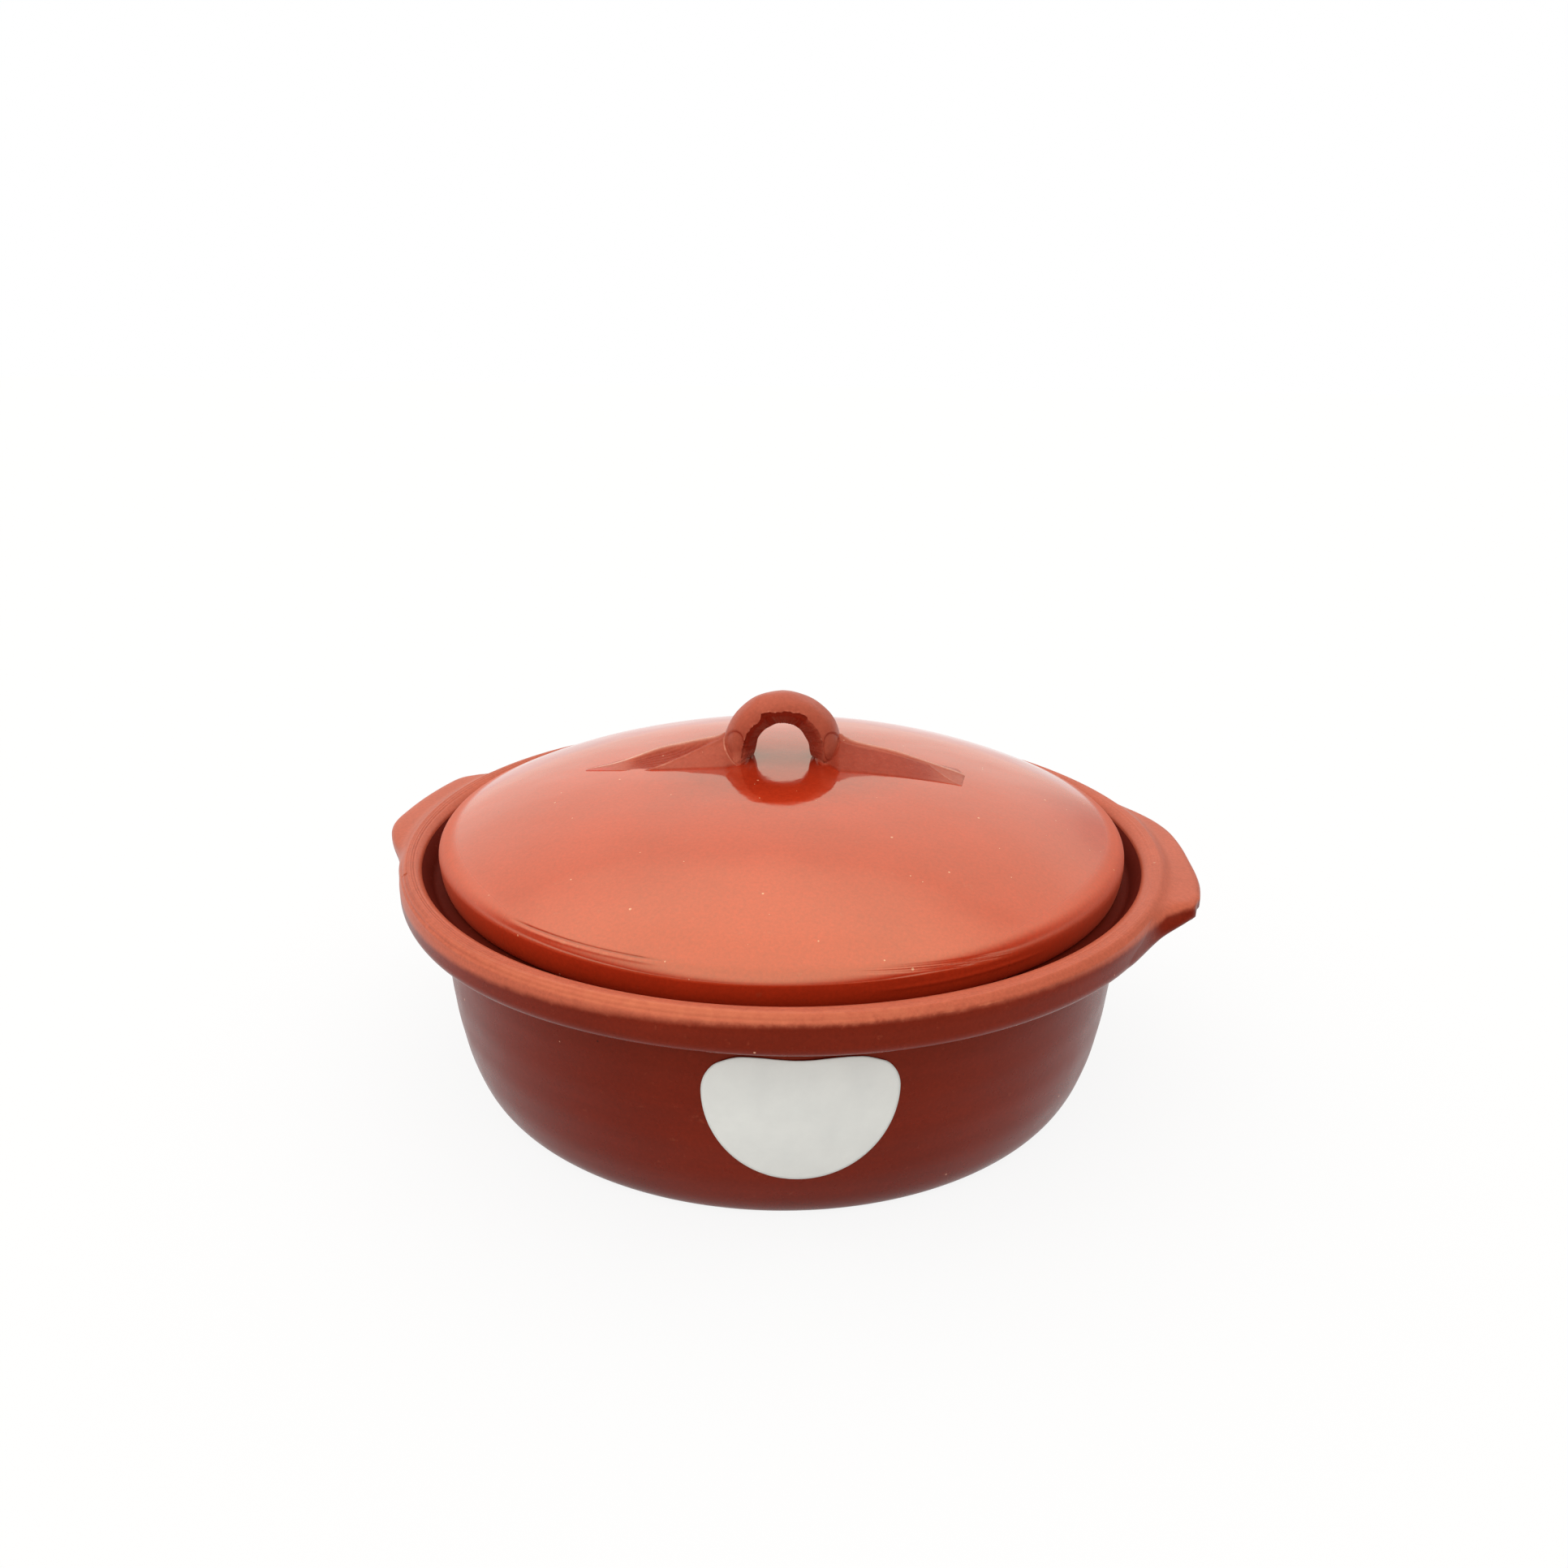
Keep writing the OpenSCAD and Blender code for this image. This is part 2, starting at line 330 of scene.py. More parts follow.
# Throwing lines on the rim, by their distance along it from the lip, strongest in one direction, a raised
# line at its shoulder, and faint lines on the wall
LINE_AT = (3.2, 4.6, 5.9, 7.1, 8.1, 8.9)
LINE_DEPTH = 0.42
LINE_MEAN, LINE_VARIES = 0.7, 0.45
LINE_DRIFT = 0.25
LINE_W = 0.42
LINE_FACE = 222.0
LINE_SPREAD = 48.0
LINE_LEAST = 0.3
SHOULDER_AT = 9.7
SHOULDER_LINE_H = 0.14
SHOULDER_LINE_W = 0.5
INNER_RUN = 7.2
OUTER_RUN = 7.9
FACE_RUN = 1.6
WALL_LINE_H = 0.04
WALL_LINE_PITCH = 2.1
WALL_LINE_DRIFT = 0.6
WALL_LINE_FROM = 3.0
WALL_LINE_FADE = 8.0
POT_SEGMENTS = 384
# Looks of the rim: the height above which it is painted pale, as painted light, which sags away from one
# direction, wear and a painted highlight on its shoulder line, a painted highlight at the front, and glaze
# that stands in the throwing lines
PALE_Z, PALE_SAG = 82.0, 5.0
PALE_FACE, PALE_SPREAD = -64.0, 56.0
PALE_REACH = 8.0
SHOULDER_WEAR_GLINT, SHOULDER_WEAR_GLINT_W = 0.45, 0.3
SHOULDER_WEAR_GLINT_MEAN, SHOULDER_WEAR_GLINT_VARIES = 0.3, 0.9
FRONT_HIGHLIGHT, FRONT_HIGHLIGHT_AT, FRONT_HIGHLIGHT_SPREAD = 0.6, -92.0, 32.0
FRONT_HIGHLIGHT_SPAN = (5.5, 10.0, 2.5)
LINE_WET, LINE_WET_LESS, LINE_WET_MOST = 0.8, 0.08, 0.25


def pot_profile():
    """Profile of the pot from the middle of its base, up the outside and down the inside to its floor."""
    lip, foot = (LIP_R, LIP_Z), (GALLERY_R, LEDGE_Z)
    edge, wall = (LEDGE_R, LEDGE_Z), (LEDGE_R, NECK_Z)
    outside = arc(BASE_R, NECK_Z, BASE_DRAW, NECK_Z, -90, 0, 72)[4:]
    toe = outside[0]
    corner = rounded(lip, foot, edge, GALLERY_ROUND, 8)
    parts = [
        line((0, 0), (BASE_R - FOOT_ROUND, 0), 24),
        np.array([[BASE_R - FOOT_ROUND, 0], [(BASE_R + toe[0]) / 2, toe[1] / 5]]),
        outside[:-1],
        arc(WALL_R + NECK_ROUND, NECK_Z, NECK_ROUND, NECK_ROUND, 180, 90, 14),
        line((WALL_R + NECK_ROUND + 0.5, UNDER_Z), (RIM_R - RIM_EDGE_W, UNDER_Z), 8),
        arc(RIM_R - RIM_EDGE_W, UNDER_Z + RIM_EDGE_H, RIM_EDGE_W, RIM_EDGE_H, -90, 0, 14),
        line((RIM_R, UNDER_Z + RIM_EDGE_H + 0.3), (RIM_R, POT_H - CROWN_DROP), 8),
        arc(CROWN_R, POT_H - CROWN_DROP, RIM_R - CROWN_R, CROWN_DROP, 0, 90, 60)[:-1],
        arc(CROWN_R, LIP_Z, CROWN_R - LIP_R, LIP_DROP, 90, 180, 40),
        line((LIP_R - 0.2, LIP_Z - 0.25), corner[0], 4),
        corner,
        line(corner[-1] - (0.3, 0), (LEDGE_R + LEDGE_ROUND, LEDGE_Z), 6),
        rounded(foot, edge, wall, LEDGE_ROUND, 8),
        line((LEDGE_R, LEDGE_Z - LEDGE_ROUND - 0.3), (LEDGE_R, NECK_Z), 6),
        arc(FLOOR_R, NECK_Z, FLOOR_DRAW, NECK_Z - BASE_T, 0, -90, 72),
        line((FLOOR_R - 1, BASE_T), (0, BASE_T), 24),
        np.array([[0, BASE_T]]),
    ]
    return np.vstack(parts)


def rim_run(r, z):
    """Distance along the rim from its lip to a point of the crown, roughly, as the crown is nearly round."""
    inner_a = np.degrees(np.arctan2(z - LIP_Z, CROWN_R - r))
    outer_a = np.degrees(np.arctan2(z - (POT_H - CROWN_DROP), r - CROWN_R))
    inner = INNER_RUN * np.clip(inner_a / 90, 0, 1)
    outer = INNER_RUN + OUTER_RUN * np.clip(1 - outer_a / 90, 0, FACE_RUN)
    return np.where(r < CROWN_R, inner, outer)


def on_rim(r, z):
    return (r > LIP_R - NEAR) & (z > UNDER_Z + RIM_EDGE_H)


def rim_grooves(angle, r, z):
    """Depth of the throwing lines on the rim."""
    run, grooves = rim_run(r, z), np.zeros_like(r)
    strength = LINE_LEAST + (1 - LINE_LEAST) * bell(off_degrees(angle, LINE_FACE), LINE_SPREAD)
    for i, at in enumerate(LINE_AT):
        depth = LINE_DEPTH * strength * (LINE_MEAN + LINE_VARIES * ripple(angle, (3, 5, 8), 20 + i))
        drift = LINE_DRIFT * ripple(angle, (1, 2, 3), 30 + i)
        grooves = grooves + np.clip(depth, 0, None) * bell(run - at - drift, LINE_W)
    return grooves


def pot_shift(angle, r, z):
    """Throwing lines on the rim and wall, and the rim's unevenness, which the gallery has no part in."""
    lines = SHOULDER_LINE_H * bell(rim_run(r, z) - SHOULDER_AT, SHOULDER_LINE_W) - rim_grooves(angle, r, z)
    outside_wall = (np.abs(r - wall_r(z)) < 1) & (z > WALL_LINE_FROM) & (z < NECK_Z)
    wave = np.sin(z / WALL_LINE_PITCH + WALL_LINE_DRIFT * ripple(angle, (1, 2, 3), 41))
    fade = ramp(z, WALL_LINE_FROM, WALL_LINE_FADE) * smoothstep((NECK_Z - z) / WALL_LINE_FADE)
    wall_lines = WALL_LINE_H * wave * fade
    along = np.where(on_rim(r, z), lines, np.where(outside_wall, wall_lines, 0))
    outside = r > np.where(z < UNDER_Z + HAIR, wall_r(z) - 1, CROWN_R)
    inner_crown = (r <= CROWN_R) & (z > LIP_Z - HAIR)
    fade = np.where(inner_crown, smoothstep((r - LIP_R) / (CROWN_R - LIP_R)), 0)
    share = np.where(outside, rim_share(z), fade)
    return along, share * rim_out(angle), share * rim_up(angle)


def pale_mark(angle, z):
    """How far a point of the rim lies above the line where painted light turns it pale, which sags away from
    the front.
    """
    line_z = PALE_Z - PALE_SAG * (1 - bell(off_degrees(angle, PALE_FACE), PALE_SPREAD))
    return np.clip(z - line_z, -PALE_REACH, PALE_REACH)


def make_pot(material):
    profile = pot_profile()
    points, faces = revolve(profile, POT_SEGMENTS, pot_shift)
    angle, r, z = turned(profile, POT_SEGMENTS)
    rim, run = on_rim(r, z), rim_run(r, z)
    inside = (r < LEDGE_R + HAIR) & (z > BASE_T - HAIR)
    # Gallery painted dark: painted shade in the gap under the lid
    gallery = (r < LIP_R - NEAR) & (z > LEDGE_Z - LEDGE_ROUND - NEAR) & ~inside
    # Crown painted pale above a line: painted light on the rim's top
    pale = np.where((r > LIP_R - NEAR) & (z > UNDER_Z), pale_mark(angle, z), -PALE_REACH)
    # Wear on the shoulder line, partly a painted highlight
    worn = SHOULDER_WEAR_GLINT * bell(run - SHOULDER_AT, SHOULDER_WEAR_GLINT_W)
    patchy = SHOULDER_WEAR_GLINT_MEAN + SHOULDER_WEAR_GLINT_VARIES * ripple(angle, (5, 11, 23, 41, 67), 44)
    # Painted highlight on the front of the rim's top
    front_highlight = FRONT_HIGHLIGHT * bell(off_degrees(angle, FRONT_HIGHLIGHT_AT), FRONT_HIGHLIGHT_SPREAD)
    front_highlight = front_highlight * span(run, *FRONT_HIGHLIGHT_SPAN)
    worn = np.where(rim, np.maximum(worn * np.clip(patchy, 0, 1), front_highlight), 0)
    wet = np.clip(LINE_WET * rim_grooves(angle, r, z) - LINE_WET_LESS, 0, LINE_WET_MOST)
    return piece("thrown_pot", points, faces, "pot", "pot_body", "pot_glaze", material,
                 pale=pale, wet=np.where(rim, wet, 0), worn=worn, inside=inside * 1.0, gallery=gallery * 1.0)


def polygon_distance(p, polygon):
    """Signed distance of points p to a closed polygon, negative inside."""
    a, b = polygon, np.roll(polygon, -1, 0)
    edge = b - a
    rel = p[..., None, :] - a
    t = np.clip((rel * edge).sum(-1) / (edge * edge).sum(-1), 0, 1)
    distance = np.sqrt(((rel - edge * t[..., None]) ** 2).sum(-1)).min(-1)
    above = a[:, 1] > p[..., 1, None]
    crosses = above != (b[:, 1] > p[..., 1, None])
    reach = a[:, 0] + (p[..., 1, None] - a[:, 1]) * edge[:, 0] / np.where(edge[:, 1] == 0, 1e-9, edge[:, 1])
    inside = (crosses & (p[..., 0, None] < reach)).sum(-1) % 2 == 1
    return np.where(inside, -distance, distance)


def smooth_union(a, b, blend):
    h = np.clip(blend - np.abs(a - b), 0, None) / blend
    return np.minimum(a, b) - h * h * blend / 4


def smooth_max(a, b, blend):
    return -smooth_union(-a, -b, blend)


class LugEnd(NamedTuple):
    """End of a lug by degrees from its middle: the start and end of its fall, the fall's power, where 0 is an
    S-curve, and the radius of its edge."""

    start: float
    end: float
    power: float
    edge: float


class Lug(NamedTuple):
    """Lug by its direction, its ends at smaller and larger angles, the share of its reach that is left on the
    side of larger angles, and how far the top of its end at smaller angles is cut back."""

    at: float
    low_end: LugEnd
    high_end: LugEnd
    slim: float
    bevel: float


LEFT_LUG = Lug(177.0, LugEnd(9.5, 20.5, 0.0, 2.45), LugEnd(7.5, 25.4, 0.0, 2.2), 1.0, 0.0)
RIGHT_LUG = Lug(0.0, LugEnd(13.5, 27.0, 1.75, 1.0), LugEnd(11.0, 38.0, 0.0, 2.45), 0.85, 4.6)
LUG_STEPS = 150
LUG_SIDES = 128
# Place from which a section's outline is sought, inside the rim and below the lug's middle, how far out, and
# in how many halvings
LUG_HUB_IN, LUG_HUB_BELOW = 3.0, 0.6
LUG_SEEK = 26.0
LUG_HALVINGS = 26
# Painted shade that darkens a bevelled lug's steep sides, from where they jut out of the rim
LUG_SIDE_SHADE = 1.5
LUG_STEEP = (0.6, 0.32)
LUG_JUT_FROM, LUG_JUT_FADE = 0.5, 6.0
LUG_SIDE_FROM, LUG_SIDE_FADE = 1.0, 2.0


def lug_rings(lug):
    """Sections of a lug round its own direction: the outline of the rim and a slab, joined smoothly."""
    rim = np.vstack([
        arc(RIM_R - RIM_EDGE_W, UNDER_Z + RIM_EDGE_H, RIM_EDGE_W, RIM_EDGE_H, -90, 0, 10),
        arc(CROWN_R, POT_H - CROWN_DROP, RIM_R - CROWN_R, CROWN_DROP, 0, 90, 24),
        [[MID_RIM_R - 1, POT_H - 3], [MID_RIM_R - 1, UNDER_Z + 3]],
    ])
    hub = np.array([RIM_R - LUG_HUB_IN, POT_H - LUG_DROP - LUG_HUB_BELOW])
    turn = np.radians(np.linspace(-180, 180, LUG_SIDES, endpoint=False))
    heading = np.column_stack([np.cos(turn), np.sin(turn)])
    angles = np.linspace(-lug.low_end.end - LUG_RUN_OUT, lug.high_end.end + LUG_RUN_OUT, LUG_STEPS + 1)
    rings = []
    for a in angles:
        start, end, power, end_edge = lug.low_end if a < 0 else lug.high_end
        u = min(max((abs(a) - start) / (end - start), 0), 1)
        share = (1 - u) ** power if power else (1 + math.cos(math.pi * u)) / 2
        share *= 1 - (1 - lug.slim) * ramp(a, *LUG_SLIM)
        tip = RIM_R - LUG_ROOT_SINK + (LUG_REACH + LUG_ROOT_SINK) * share
        thick = LUG_T * share + LUG_ROOT_T * (1 - share)
        middle = POT_H - LUG_DROP * share - LUG_ROOT_DROP * (1 - share)
        edge = LUG_EDGE + (end_edge - LUG_EDGE) * smoothstep((abs(a) - start / 2) / (start / 2))
        edge = min(thick / 2 - 0.05, edge * share + LUG_ROOT_EDGE * (1 - share))
        run_out = smoothstep((end + LUG_RUN_OUT - 1 - abs(a)) / LUG_RUN_OUT)
        blend = LUG_END_BLEND + (LUG_BLEND - LUG_END_BLEND) * run_out
        half = np.array([(tip - MID_RIM_R + 0.5) / 2, thick / 2])
        centre = np.array([tip - half[0], middle])
        cut_back = lug.bevel * smoothstep((-a - LUG_BEVEL_FROM) / LUG_BEVEL_RUN)
        cut_at = np.array([tip, middle - half[1] + LUG_BEVEL_FOOT])
        cut_h = thick - LUG_BEVEL_FOOT
        cut_normal = np.array([cut_h, cut_back]) / math.hypot(cut_h, cut_back)
        near, far = np.zeros(LUG_SIDES), np.full(LUG_SIDES, LUG_SEEK)
        for _ in range(LUG_HALVINGS):
            mid = (near + far) / 2
            p = hub + heading * mid[:, None]
            q = np.abs(p - centre) - (half - edge)
            slab = np.linalg.norm(np.clip(q, 0, None), axis=1) + np.minimum(q.max(1), 0) - edge
            slab = smooth_max(slab, (p - cut_at) @ cut_normal, LUG_BEVEL_ROUND) if cut_back else slab
            solid = smooth_union(polygon_distance(p, rim) + LUG_SINK, slab, blend)
            near, far = np.where(solid < 0, mid, near), np.where(solid < 0, far, mid)
        rings.append(hub + heading * near[:, None])
    return angles, np.array(rings)


def lug_side(rings, r):
    """How much each point of a lug lies on a steep side that juts out of the rim, from 0 to 1."""
    normal = np.cross(np.roll(rings, -1, 1) - np.roll(rings, 1, 1), np.gradient(rings, axis=0))
    upright = normal[..., 2] / np.linalg.norm(normal, axis=-1)
    height = rings[LUG_STEPS // 2, :, 2]
    upright = upright * np.sign(upright[LUG_STEPS // 2].dot(height - height.mean()))
    juts = smoothstep((r.max(1) - RIM_R - LUG_JUT_FROM) / LUG_JUT_FADE)[:, None]
    juts = juts * smoothstep((r - RIM_R - LUG_SIDE_FROM) / LUG_SIDE_FADE)
    return juts * (1 - ramp(upright, *LUG_STEEP))


def make_lug(name, node, lug, material):
    angles, sections = lug_rings(lug)
    angle = np.radians(lug.at + angles)[:, None]
    r, z = sections[..., 0], sections[..., 1]
    out = r + rim_share(z) * rim_out(angle)
    rings = np.stack([out * np.cos(angle), out * np.sin(angle), z + rim_share(z) * rim_up(angle)], -1)
    # Tops painted pale as painted light, steep bevelled sides darker as painted shade
    pale = pale_mark(angle, z) - LUG_SIDE_SHADE * (lug.bevel > 0) * lug_side(rings, r)
    points, faces = closed_loft(rings)
    return piece(name, points, faces, "pot", node, "pot_glaze", material, pale=pale)


def dome_z(r):
    return APEX_Z - DOME_RISE * (np.abs(r) / SHOULDER_R) ** DOME_POWER


def lid_profile():
    """Profile of the lid from the middle of its hollow, out to the seat, round the edge and over the dome."""
    inner = np.linspace(0, HOLLOW_R, 60)
    under = np.column_stack([inner, dome_z(inner) - LID_T])
    outer = np.linspace(SHOULDER_R, 0, 120)
    top = np.column_stack([outer, dome_z(outer)])
    parts = [
        under,
        line(under[-1], (SEAT_R, SEAT_Z), 10)[1:],
        line((SEAT_R, SEAT_Z), (LID_R - EDGE_TUCK, SEAT_Z), 8),
        arc(LID_R - EDGE_TUCK, EDGE_Z, EDGE_TUCK, EDGE_H, -90, 0, 30)[:-1],
        arc(LID_R - EDGE_ROUND, EDGE_Z, EDGE_ROUND, EDGE_ROUND, 0, SHOULDER_A, 36)[:-1],
        top,
    ]
    return np.vstack(parts)


def edge_run(r, z):
    """Distance past the shoulder down the lid's rounded edge, negative on the dome."""
    fall = SHOULDER_A - np.degrees(np.arctan2(z - EDGE_Z, r - (LID_R - EDGE_ROUND)))
    return np.where(r < SHOULDER_R, r - SHOULDER_R, np.radians(fall) * EDGE_ROUND)


# Unevenness of the lid: faint rings and swells, an edge that was scraped flat at the front, a crease beside
# it with a lip, slanting scrapes and a bead, by direction and distance past the shoulder
LID_SEGMENTS = 480
RING_H, RING_PITCH, RING_DRIFT = 0.012, 1.9, 0.8
RING_START = (70.0, 40.0)
SWELL_H, SWELL_TWIST = 0.1, 90.0
SWELL_START = (20.0, 60.0)
FLAT_AT, FLAT_SPREAD = -82.0, 24.0
FLAT_DEPTH = 0.8
FLAT_FROM, FLAT_DEEPEST = -10.0, 2.5
CREASE_FROM, CREASE_TO, CREASE_SOFT = -120.0, -97.0, 5.0
CREASE_RUN, CREASE_W, CREASE_DEPTH, CREASE_DRIFT = 1.5, 0.4, 0.3, 0.15
CREASE_LIP_RUN, CREASE_LIP_W, CREASE_LIP_H = 1.2, 0.6, 0.15
SCRAPE_FROM, SCRAPE_TO = -70.0, -46.0
SCRAPE_RUN_FROM, SCRAPE_RUN_TO = 2.4, 6.0
SCRAPE_SPAN = (0.05, 0.95, 0.3)
# Each scrape's distance from their middle line, depth and width
SCRAPES = ((-1.0, 0.08, 0.3), (-0.4, 0.14, 0.28), (0.3, 0.16, 0.26), (0.9, 0.1, 0.3))
BEAD_FROM, BEAD_TO, BEAD_SOFT = -66.0, -42.0, 8.0
BEAD_Z, BEAD_W, BEAD_H, BEAD_ABOVE_SEAT = 82.3, 0.6, 0.22, 3.0
# Looks of the lid: painted shade round the loop and in the crease, a painted highlight on the crease's lip,
# and a brim that is matt all round but at the front
LOOP_SHADE_R, LOOP_SHADE_FADE, LOOP_SHADE_SHARE = 62.0, 36.0, 0.6
CREASE_SHADE, CREASE_LIP_HIGHLIGHT = 0.6, 0.2
BRIM_AT, BRIM_SPREAD = -85.0, 50.0
BRIM_START = (-8.0, 9.0)


def on_dome(r, z):
    return (z > EDGE_Z - HAIR) & (z > dome_z(r) - LID_T / 2)


def lid_crease(angle, run):
    """Depth of the crease in the lid's edge and height of its lip, as shares."""
    window = span(off_degrees(angle, 0), CREASE_FROM, CREASE_TO, CREASE_SOFT)
    drift = CREASE_DRIFT * ripple(angle, (11, 17), 55)
    crease = window * bell(run - CREASE_RUN - drift, CREASE_W)
    return crease, window * bell(run - CREASE_RUN - CREASE_LIP_RUN, CREASE_LIP_W)


def lid_shift(angle, r, z):
    """Slight rings, swells and tool marks of the lid's dome and edge. The seat stays true."""
    run = edge_run(r, z)
    rings = RING_H * np.sin(r / RING_PITCH + RING_DRIFT * ripple(angle, (1, 2, 3), 51))
    rings = rings * ramp(r, *RING_START)
    swell = SWELL_H * ripple(angle + r / SWELL_TWIST, (2, 3, 5, 9), 52)
    swell = swell * ramp(r, *SWELL_START)
    drop = np.clip((run - FLAT_DEEPEST) / (EDGE_RUN - FLAT_DEEPEST), 0, 1)
    flat = smoothstep((run - FLAT_FROM) / (FLAT_DEEPEST - FLAT_FROM)) * np.cos(math.pi / 2 * drop)
    top = rings + swell - FLAT_DEPTH * flat * bell(off_degrees(angle, FLAT_AT), FLAT_SPREAD)
    crease, lip = lid_crease(angle, run)
    top = top - CREASE_DEPTH * crease + CREASE_LIP_H * lip
    turn = (off_degrees(angle, 0) - SCRAPE_FROM) / (SCRAPE_TO - SCRAPE_FROM)
    at = SCRAPE_RUN_FROM + (SCRAPE_RUN_TO - SCRAPE_RUN_FROM) * turn
    for aside, depth, width in SCRAPES:
        top = top - depth * bell(run - at - aside, width) * span(turn, *SCRAPE_SPAN)
    tucked = (r > LID_R - EDGE_TUCK - HAIR) & (z <= EDGE_Z - HAIR) & (z > SEAT_Z + BEAD_ABOVE_SEAT)
    bead = BEAD_H * bell(z - BEAD_Z, BEAD_W) * span(off_degrees(angle, 0), BEAD_FROM, BEAD_TO, BEAD_SOFT)
    along = np.where(on_dome(r, z), top, np.where(tucked, bead, 0))
    return along, np.zeros_like(r), np.zeros_like(r)


def make_lid(material):
    profile = lid_profile()
    points, faces = revolve(profile, LID_SEGMENTS, lid_shift)
    angle, r, z = turned(profile, LID_SEGMENTS)
    run, outer = edge_run(r, z), on_dome(r, z)
    crease, lip = lid_crease(angle, run)
    # Painted shade round the loop, where it blocks the light
    loop_shade = LOOP_SHADE_SHARE * smoothstep((LOOP_SHADE_R - r) / LOOP_SHADE_FADE)
    brim = ramp(run, *BRIM_START) * (1 - bell(off_degrees(angle, BRIM_AT), BRIM_SPREAD))
    return piece("thrown_lid", points, faces, "lid", "lid_dome", "lid_glaze", material,
                 wet=np.where(outer, np.maximum(CREASE_SHADE * crease, loop_shade), 0),
                 worn=np.where(outer, CREASE_LIP_HIGHLIGHT * lip, 0), brim=brim)


def loop_frame(points):
    """Turns points from the loop's own frame into the lid's."""
    a = math.radians(LOOP_YAW)
    turn = np.array([[math.cos(a), -math.sin(a), 0], [math.sin(a), math.cos(a), 0], [0, 0, 1]])
    return points @ turn.T


# Oval thumb marks pressed into the front of each foot, as seen from the front and above: middle along X,
# height above the dome, half width, half height, tilt, and the direction and half span of a raised lip,
# beyond which a line runs round the mark
FOOT_MARKS = ((-16.9, 5.7, 3.4, 6.3, 10.0, 205.0, 70.0), (17.8, 6.8, 2.7, 5.4, -10.0, 15.0, 0.0))
FOOT_MARK_WIDENS = 0.35
FOOT_MARK_SLOPE, FOOT_MARK_Y = 0.36, -8.0
FOOT_MARK_FROM, FOOT_MARK_FADE = -0.5, 3.0
FOOT_MARK_PRESS, FOOT_MARK_SOFT = 0.4, 0.15
# The raised lip is painted light as a painted highlight, and the line round the mark dark as painted shade
FOOT_LIP_H, FOOT_LIP_AT, FOOT_LIP_W, FOOT_LIP_SOFT, FOOT_LIP_HIGHLIGHT = 0.3, 1.1, 0.09, 40.0, 0.5
FOOT_LINE_DEPTH, FOOT_LINE_AT, FOOT_LINE_W, FOOT_LINE_SHADE = 0.35, 0.98, 0.07, 0.7


def foot_marks(x, y, z):
    """How far the thumb marks move each point of the feet, with painted shade in the lines round them and a
    painted highlight on their lips.
    """
    move, wet, worn = (np.zeros_like(x) for _ in range(3))
    front = smoothstep((FOOT_MARK_FROM - y) / FOOT_MARK_FADE)
    for at_x, at_z, half_w, half_h, tilt, lip_at, lip_half in FOOT_MARKS:
        t = math.radians(tilt)
        u, v = x - at_x, z - APEX_Z - at_z + FOOT_MARK_SLOPE * (y - FOOT_MARK_Y)
        u, v = (u * math.cos(t) + v * math.sin(t)) / half_w, (v * math.cos(t) - u * math.sin(t)) / half_h
        reach = np.hypot(u / (1 + FOOT_MARK_WIDENS * np.clip(v, -1, 1)), v)
        lipped = span(off_degrees(np.arctan2(v, u), lip_at), -lip_half, lip_half, FOOT_LIP_SOFT)
        lipped = lipped * (lip_half > 0)
        lip = front * lipped * bell(reach - FOOT_LIP_AT, FOOT_LIP_W)
        groove = front * (1 - lipped) * bell(reach - FOOT_LINE_AT, FOOT_LINE_W)
        press = front * FOOT_MARK_PRESS * smoothstep((1 - reach) / FOOT_MARK_SOFT)
        move += FOOT_LIP_H * lip - FOOT_LINE_DEPTH * groove - press
        worn, wet = np.maximum(worn, FOOT_LIP_HIGHLIGHT * lip), np.maximum(wet, FOOT_LINE_SHADE * groove)
    return move, wet, worn


# Section of the loop's clay: an oval whose front inner corner was cut off with a wire. The cut runs from an
# edge on the front, whose place outwards from the clay's middle swings along the loop, to the inner side
LOOP_ROWS = 260
SKIN_COLUMNS = 116
SKIN_RUN = 34.0
CUT_COLUMNS = 30
CUT_MID, CUT_SWING, CUT_PHASE, CUT_RAG = -0.4, 1.1, 0.37, 0.16
# Steps of the cut's torn edge: share of the loop's length and distance outwards
CUT_STEPS = (
    (0.1, 0.0), (0.3, 0.2), (0.35, -0.3), (0.37, 0.3), (0.386, 1.6), (0.41, 1.2), (0.46, 0.4), (0.5, 0.0),
    (0.512, 0.5), (0.56, 0.2), (0.6, 0.6), (0.64, 0.9), (0.655, 0.0),
)
INNER_FULL = 3.5
CUT_END = 8.0
# Where the cut is crisp, by shares of the loop's length, the burr on its edge there and the recess below it
CRISP_START, CRISP_END = (0.08, 0.1), (0.635, 0.03)
BURR_H, BURR_W, BURR_WEAR, BURR_WEAR_W = 0.45, 0.5, 0.35, 0.35
BURR_MEAN, BURR_VARIES, BURR_LEAST, BURR_MOST = 0.5, 0.6, 0.05, 1.5
CUT_RECESS, RECESS_LEAST, RECESS_AT, RECESS_W = 0.6, 0.15, 1.3, 1.1
# The cut is painted darker: partly bare clay, partly painted shade that deepens away from its front edge
BARE_SHADE_LEAST, BARE_SHADE_RUN = 0.65, 4.0
# Unevenness of the clay, and flats on the skin by depth, number round it and turn along the loop
LOOP_SWAY = 0.14
FLATS = ((0.12, 3, 9), (0.07, 5, -14))
CUT_WAVES, CUT_TURN = 5, 9
# Feet: they splay inwards, flare to the front, and meet the dome in a crevice painted dark as painted shade
SPLAY, SPLAY_H, SPLAY_FADE = 0.16, 4.0, 5.0
LEFT_FLARE, RIGHT_FLARE = 0.25, -0.12
FLARE_H, FLARE_FADE = 5.0, 6.0
CREVICE, CREVICE_H, CREVICE_SHADE = 0.7, 1.6, 0.8


